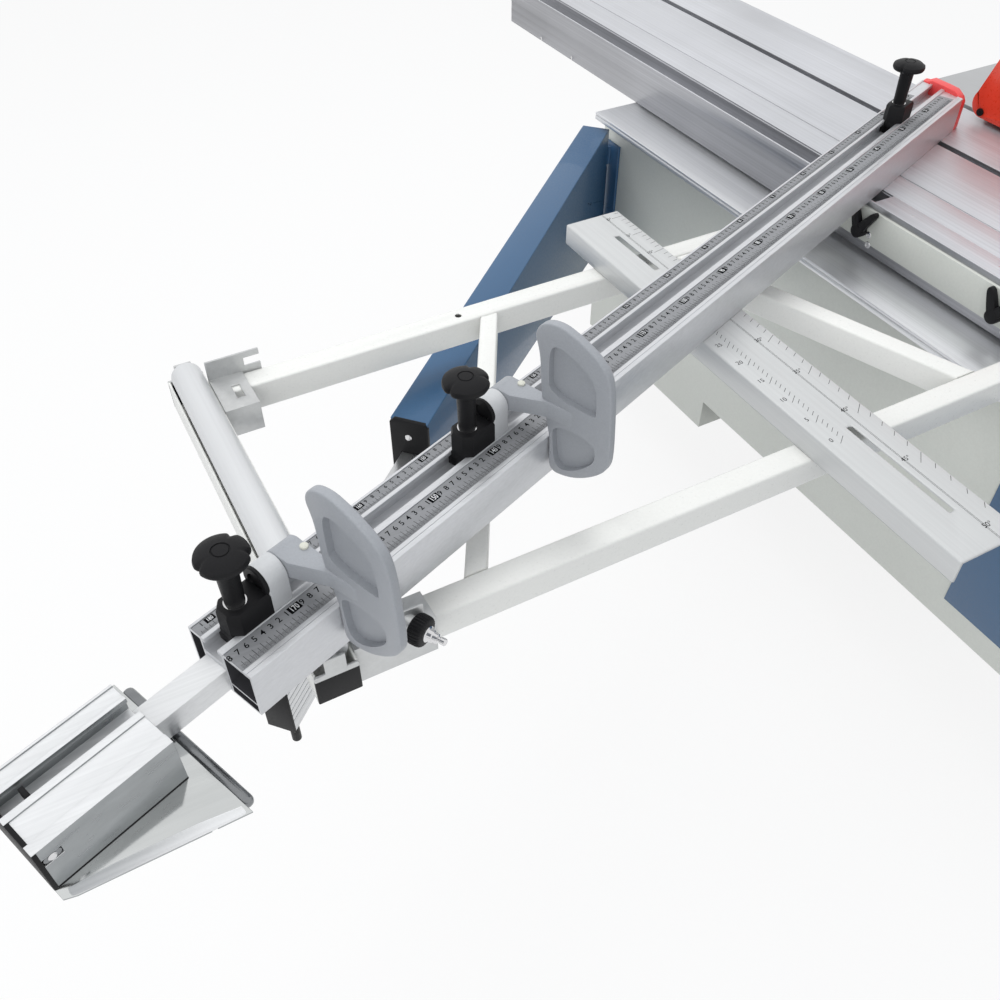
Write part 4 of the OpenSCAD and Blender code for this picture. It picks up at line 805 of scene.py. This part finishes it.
def screw(name, place, look, body, radius):
    """A screw head at a place in millimetres that looks along look."""
    head_piece = turned(name, [(0, -1), (radius, -1), (radius, 0.3), (0.85 * radius, 1.4),
                               (0.5 * radius, 2.1), (0, 2.3)], 28)
    cut(head_piece, bar("cross", (-0.55 * radius, -0.5, 0.9), (0.55 * radius, 0.5, 4), 0))
    cut(head_piece, bar("cross", (-0.5, -0.55 * radius, 0.9), (0.5, 0.55 * radius, 4), 0))
    turn = Vector((0, 0, 1)).rotation_difference(Vector(look)).to_matrix().to_4x4()
    return settle(head_piece, Matrix.Translation(metres(*place)) @ turn, chrome, body)


for i, (y, z) in enumerate(((1168, 795), (1027, 795), (-640, 795), (-900, 795))):
    screw("table_screw_%d" % i, (-426, y, z), (-1, 0, 0), "carriage", 4.5)
for i, y in enumerate((-10, -190, -390, -590, -790)):
    screw("strip_screw_%d" % i, (-405, y, 877.9), (0, 0, 1), "carriage", 5)

# Support roller
# A drawn aluminium tube on the outer beam carries the end of the fence. It turns on a steel
# axle between two black end plates with ears.
roller_metal = finish("roller_metal", (0.7, 0.71, 0.72), metal=0.5, rough=0.42, grain=(300, 1.5, 300),
                      tone=0.04, relief=0.02)
roller = turned("roller_tube", [(5.2, 0), (19.4, 0), (20.6, 0.8), (21, 2), (21, 534), (20.6, 535.2),
                                (19.4, 536), (5.2, 536), (5.2, 0)], 64, axis="Y", centre=(-1573, -367, 857))
settle(roller, Matrix.Identity(4), roller_metal, "roller", smooth=40)
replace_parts(roller, "support_roller")

# Extension shoe
# The fence's own profile ends in a shoe with a black end plate. Polished sheet under it slides
# over the work support; its edges are rolled down, and its corners are round.
polished = finish("polished", (0.68, 0.7, 0.7), metal=1, rough=0.1, grain=(5, 60, 60), tone=0.06, relief=0.01,
                  turn=-TURN, wear=0.15)
dark_steel = finish("dark_steel", (0.25, 0.26, 0.27), metal=0.9, rough=0.22, tone=0.1)
# Painted shade: every face of the shoe that does not face up gets this darker copy of its metal.
shoe_side_painted_shade = finish("shoe_side_painted_shade", (0.42, 0.44, 0.45), metal=0.85, rough=0.3, grain=(1.2, 60, 60), tone=0.1,
                   relief=0.05, turn=-TURN, wear=0.25)
shoe = crisp("extension_shoe", bright_metal, 0.0005, 0, shoe_side_painted_shade, lambda face: face.normal.z < 0.5)
shoe.data.materials.append(polished)
PLATE_TOP = 0.882
for face in shoe.data.polygons:
    if face.normal.z > 0.5 and face.center.z < PLATE_TOP:
        face.material_index = 2
lip = bar("shoe_lip", (1841, -96, -13), (1854, 93, 0.3), 0.006, 5)
back_lip = bar("back_lip", (1862, -109, -13), (1992, -99, -0.6), 0.0045, 5)
settle(melt(lip, back_lip), on_fence, dark_steel, "extension")
margin = slab("shoe_margin", softened([(1856, 100), (1862, 99), (1995, 49.5), (1999, 46), (1996, 36),
                                       (1855, 88)], 1), -0.9, 0.15)
settle(margin, on_fence, bright_metal, "extension")
washer = slab("shoe_washer", softened([(1983.5, 36.5), (2000, 36.5), (2000, 45.5), (1983.5, 45.5)], 2), -31,
              -29.5)
washer.data.transform(Matrix.Rotation(math.radians(90), 4, "X"))
settle(washer, on_fence, dark_steel, "extension")
end_line = [(32.6, -0.2), (32.6, 60.2), (-61.6, 60.2), (-61.6, -0.2)]
settle(slab("shoe_end", end_line, 2000.8, 2005.2, 0.0008, 2, stand="X"), on_fence, black_plastic, "extension")
settle(bar("shoe_seam", (1868, 31.6, -0.1), (2001, 32.5, 1.6), 0.0003), on_fence, black_plastic, "extension")
settle(bar("shoe_stub", (1975, -32, 46), (1980, -19, 59), 0.001), on_fence, black_plastic, "extension")
pan = turned("shoe_screw", [(0, 0), (4.2, 0), (4.2, 1.2), (3, 2.2), (0, 2.4)], 24, axis="Y",
             centre=(1992, 30.5, 41))
settle(pan, on_fence, chrome, "extension")

# Marks on the protractor
# Printed degree marks point at the pivot of the fence along both edges, with generic figures at
# every fifth degree.
marks = []
degrees = []
PRINT = 880.08
SEAM = 880.07


def mark_at(x, y, lean, reach, figure, gap):
    """A mark from x, y in the direction lean, reach long, with its figure gap beside x, y."""
    marks.append(line(Matrix.Translation(metres(x, y, PRINT)) @ Matrix.Rotation(math.radians(lean), 4, "Z") @
                      Matrix.Diagonal((abs(reach) / 1000, 0.0006, 1, 1)) @
                      Matrix.Translation((math.copysign(0.5, reach), 0, 0))))
    if figure:
        degrees.append(letter(figure, 10, Matrix.Translation(metres(x + gap, y, PRINT))))


for degree in range(-5, 52):
    fifth = degree % 5 == 0
    mark_at(-826, 218 - 663 * math.tan(math.radians(degree)), degree, -20 if fifth else -9,
            str(abs(degree)) + "\u00b0" if fifth else "", -25)
for count in range(31):
    fifth = count % 5 == 0
    mark_at(-889, -376 + 9.1 * count, 38, -16 if fifth else -9, str(count) if fifth else "", -19)
for x in (-855.5, -853.8):
    marks.append(line(Matrix.Translation(metres(x, -181.5, SEAM)) @ Matrix.Diagonal((0.0004, 0.83, 1, 1))))
printed("protractor_marks", marks, Matrix.Identity(4), print_black, "outrigger")
printed("protractor_figures", degrees, Matrix.Identity(4), print_black, "outrigger")

# Index plunger
# Ribbed knob of black plastic with a bright stepped tip of turned steel. It is held in the front
# bracket and is pulled to free the outrigger.
FACETS = 120
RIBBED_FROM = 0.0155
VALLEY = 0.94
grip = turned("plunger_knob", [(0, -28), (14, -28), (16.5, -27), (17.6, -25), (18, -22), (18, -15),
                               (17, -12.5), (14.5, -11), (0, -11)], FACETS, axis="Y")
for vertex in grip.data.vertices:
    out = math.hypot(vertex.co.x, vertex.co.z)
    around = round(math.atan2(vertex.co.z, vertex.co.x) / math.tau * FACETS)
    if out > RIBBED_FROM and around % 4 in (0, 1):
        vertex.co.x *= VALLEY
        vertex.co.z *= VALLEY
pin = turned("pin", [(0, -11.5), (4.9, -11.5), (4.9, 20), (0, 20)], 24, axis="Y")
on_plunger = Matrix.Translation((-1.488, -0.37, 0.86)) @ Matrix.Rotation(math.radians(30), 4, "Z")
piece = settle(melt(grip, pin), on_plunger, black_plastic, "plunger")
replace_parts(piece, "index_plunger")
tip = turned("plunger_tip", [(0, -52), (3.2, -52), (4.2, -51), (4.2, -46), (3.4, -45), (3.4, -43),
                             (5.6, -42), (5.8, -37), (7.2, -36), (7.6, -31), (9.5, -30), (9.5, -27.5),
                             (0, -27.5)], 32, axis="Y")
settle(tip, on_plunger, chrome, "plunger")

# Clamp levers
# Black moulded levers with two legs on the side plate, with two chromed screws beside each. They
# lock the outrigger to the table.
for name, y in (("rear", 58), ("front", -235)):
    place = Matrix.Translation((-0.4366, y / 1000, 0.831))
    hub = turned("hub", [(0, -16), (9, -16), (11.4, -14.5), (12, -12), (12, 0), (0, 0)], 36, axis="X")
    legs = []
    for lean, reach, thick in ((-25, 46, 7), (34.5, 53, 6)):
        leg = slab("leg", softened([(-8, -9), (-8, 9), (reach - 8, thick), (reach, 3), (reach, -3),
                                    (reach - 8, -thick)], 2), -5, 5, 0.0014, 2)
        leg.data.transform(Matrix.Translation((-0.0095, 0, 0)) @ Matrix.Rotation(math.radians(lean), 4, "X") @
                           Matrix.Rotation(math.radians(-90), 4, "Y"))
        legs.append(leg)
    lever = settle(melt(hub, *legs), place, black_plastic, "lever_" + name)
    lever.name = "lever_" + name
    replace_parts(lever, "clamp_lever_" + name)
    for i, (back, low) in enumerate(((17, 3), (21, 20))):
        bolt = turned("lever_bolt_%s_%d" % (name, i), [(0, 0), (6, 0), (6, 0.8), (5.2, 1.6), (3.4, 1.8),
                                                       (3, 1), (0, 1)], 24, axis="X", centre=(0, back, -low))
        bolt.data.transform(Matrix.Translation((0.0003, 0, 0)) @ Matrix.Rotation(math.pi, 4, "Z"))
        settle(bolt, place, chrome, "outrigger")

# Swing arm caps and telescopic bar
# A grooved aluminium bar slides out of the blue arm through a black moulded cap held by one
# screw. A second black cap and a short bumper pin close the bar's own end.
on_arm = Matrix.Translation((-0.505, 0.76, 0)) @ Matrix.Rotation(math.radians(222.5), 4, "Z")
bar_metal = finish("bar_metal", (0.66, 0.67, 0.68), metal=0.85, rough=0.3, grain=(2, 2, 260), tone=0.1,
                   relief=0.08)
crisp("arm_tube", bar_metal, 0.0004)
arm_cap = slab("arm_cap", [(18.4, 602.5), (18.4, 748), (14, 754.6), (-36, 754.6), (-42.6, 748),
                           (-42.6, 602.5)], 1061.8, 1069.5, 0.0015, 3, stand="X")
cut(arm_cap, bar("mouth", (1050, -27.6, 590), (1080, 12.6, 693), 0))
settle(arm_cap, on_arm, black_plastic, "arm")
pan = turned("arm_cap_screw", [(0, 1069), (5.5, 1069), (5.5, 1070.5), (4.2, 1071.8), (0, 1072)], 24, axis="X",
             centre=(0, -13, 724.7))
settle(pan, on_arm, chrome, "arm")
settle(bar("bar_end", (1511.8, -26.6, 605.7), (1516.3, 12, 692.3), 0.0012), on_arm, black_plastic,
       "arm_slide")
bumper = turned("bar_bumper", [(0, 575.8), (5.4, 575.8), (6.2, 577), (6.2, 606), (0, 606)], 28,
                centre=(1506, 4.7, 0))
settle(bumper, on_arm, black_plastic, "arm_slide")

# Saw blade
# Ground steel disc with sixty carbide-tipped teeth, cut to its outline, bored in the middle and
# clamped on the arbor.
TEETH = 60
rim = []
for i in range(TEETH):
    for share, radius in ((0, 157.4), (0.32, 153.5), (0.42, 146.5), (0.72, 147.5), (0.9, 155)):
        angle = math.tau * (i + share) / TEETH
        rim.append((radius * math.cos(angle), radius * math.sin(angle)))
disc = slab("blade_disc", rim, -1.6, 1.6, stand="X")
cut(disc, turned("bore", [(0, -5), (15, -5), (15, 5), (0, 5)], 48, axis="X"))
settle(disc, Matrix.Translation((0, 0, 0.802)), rod_steel, "spindle", smooth=20)
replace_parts(disc, "saw_blade")
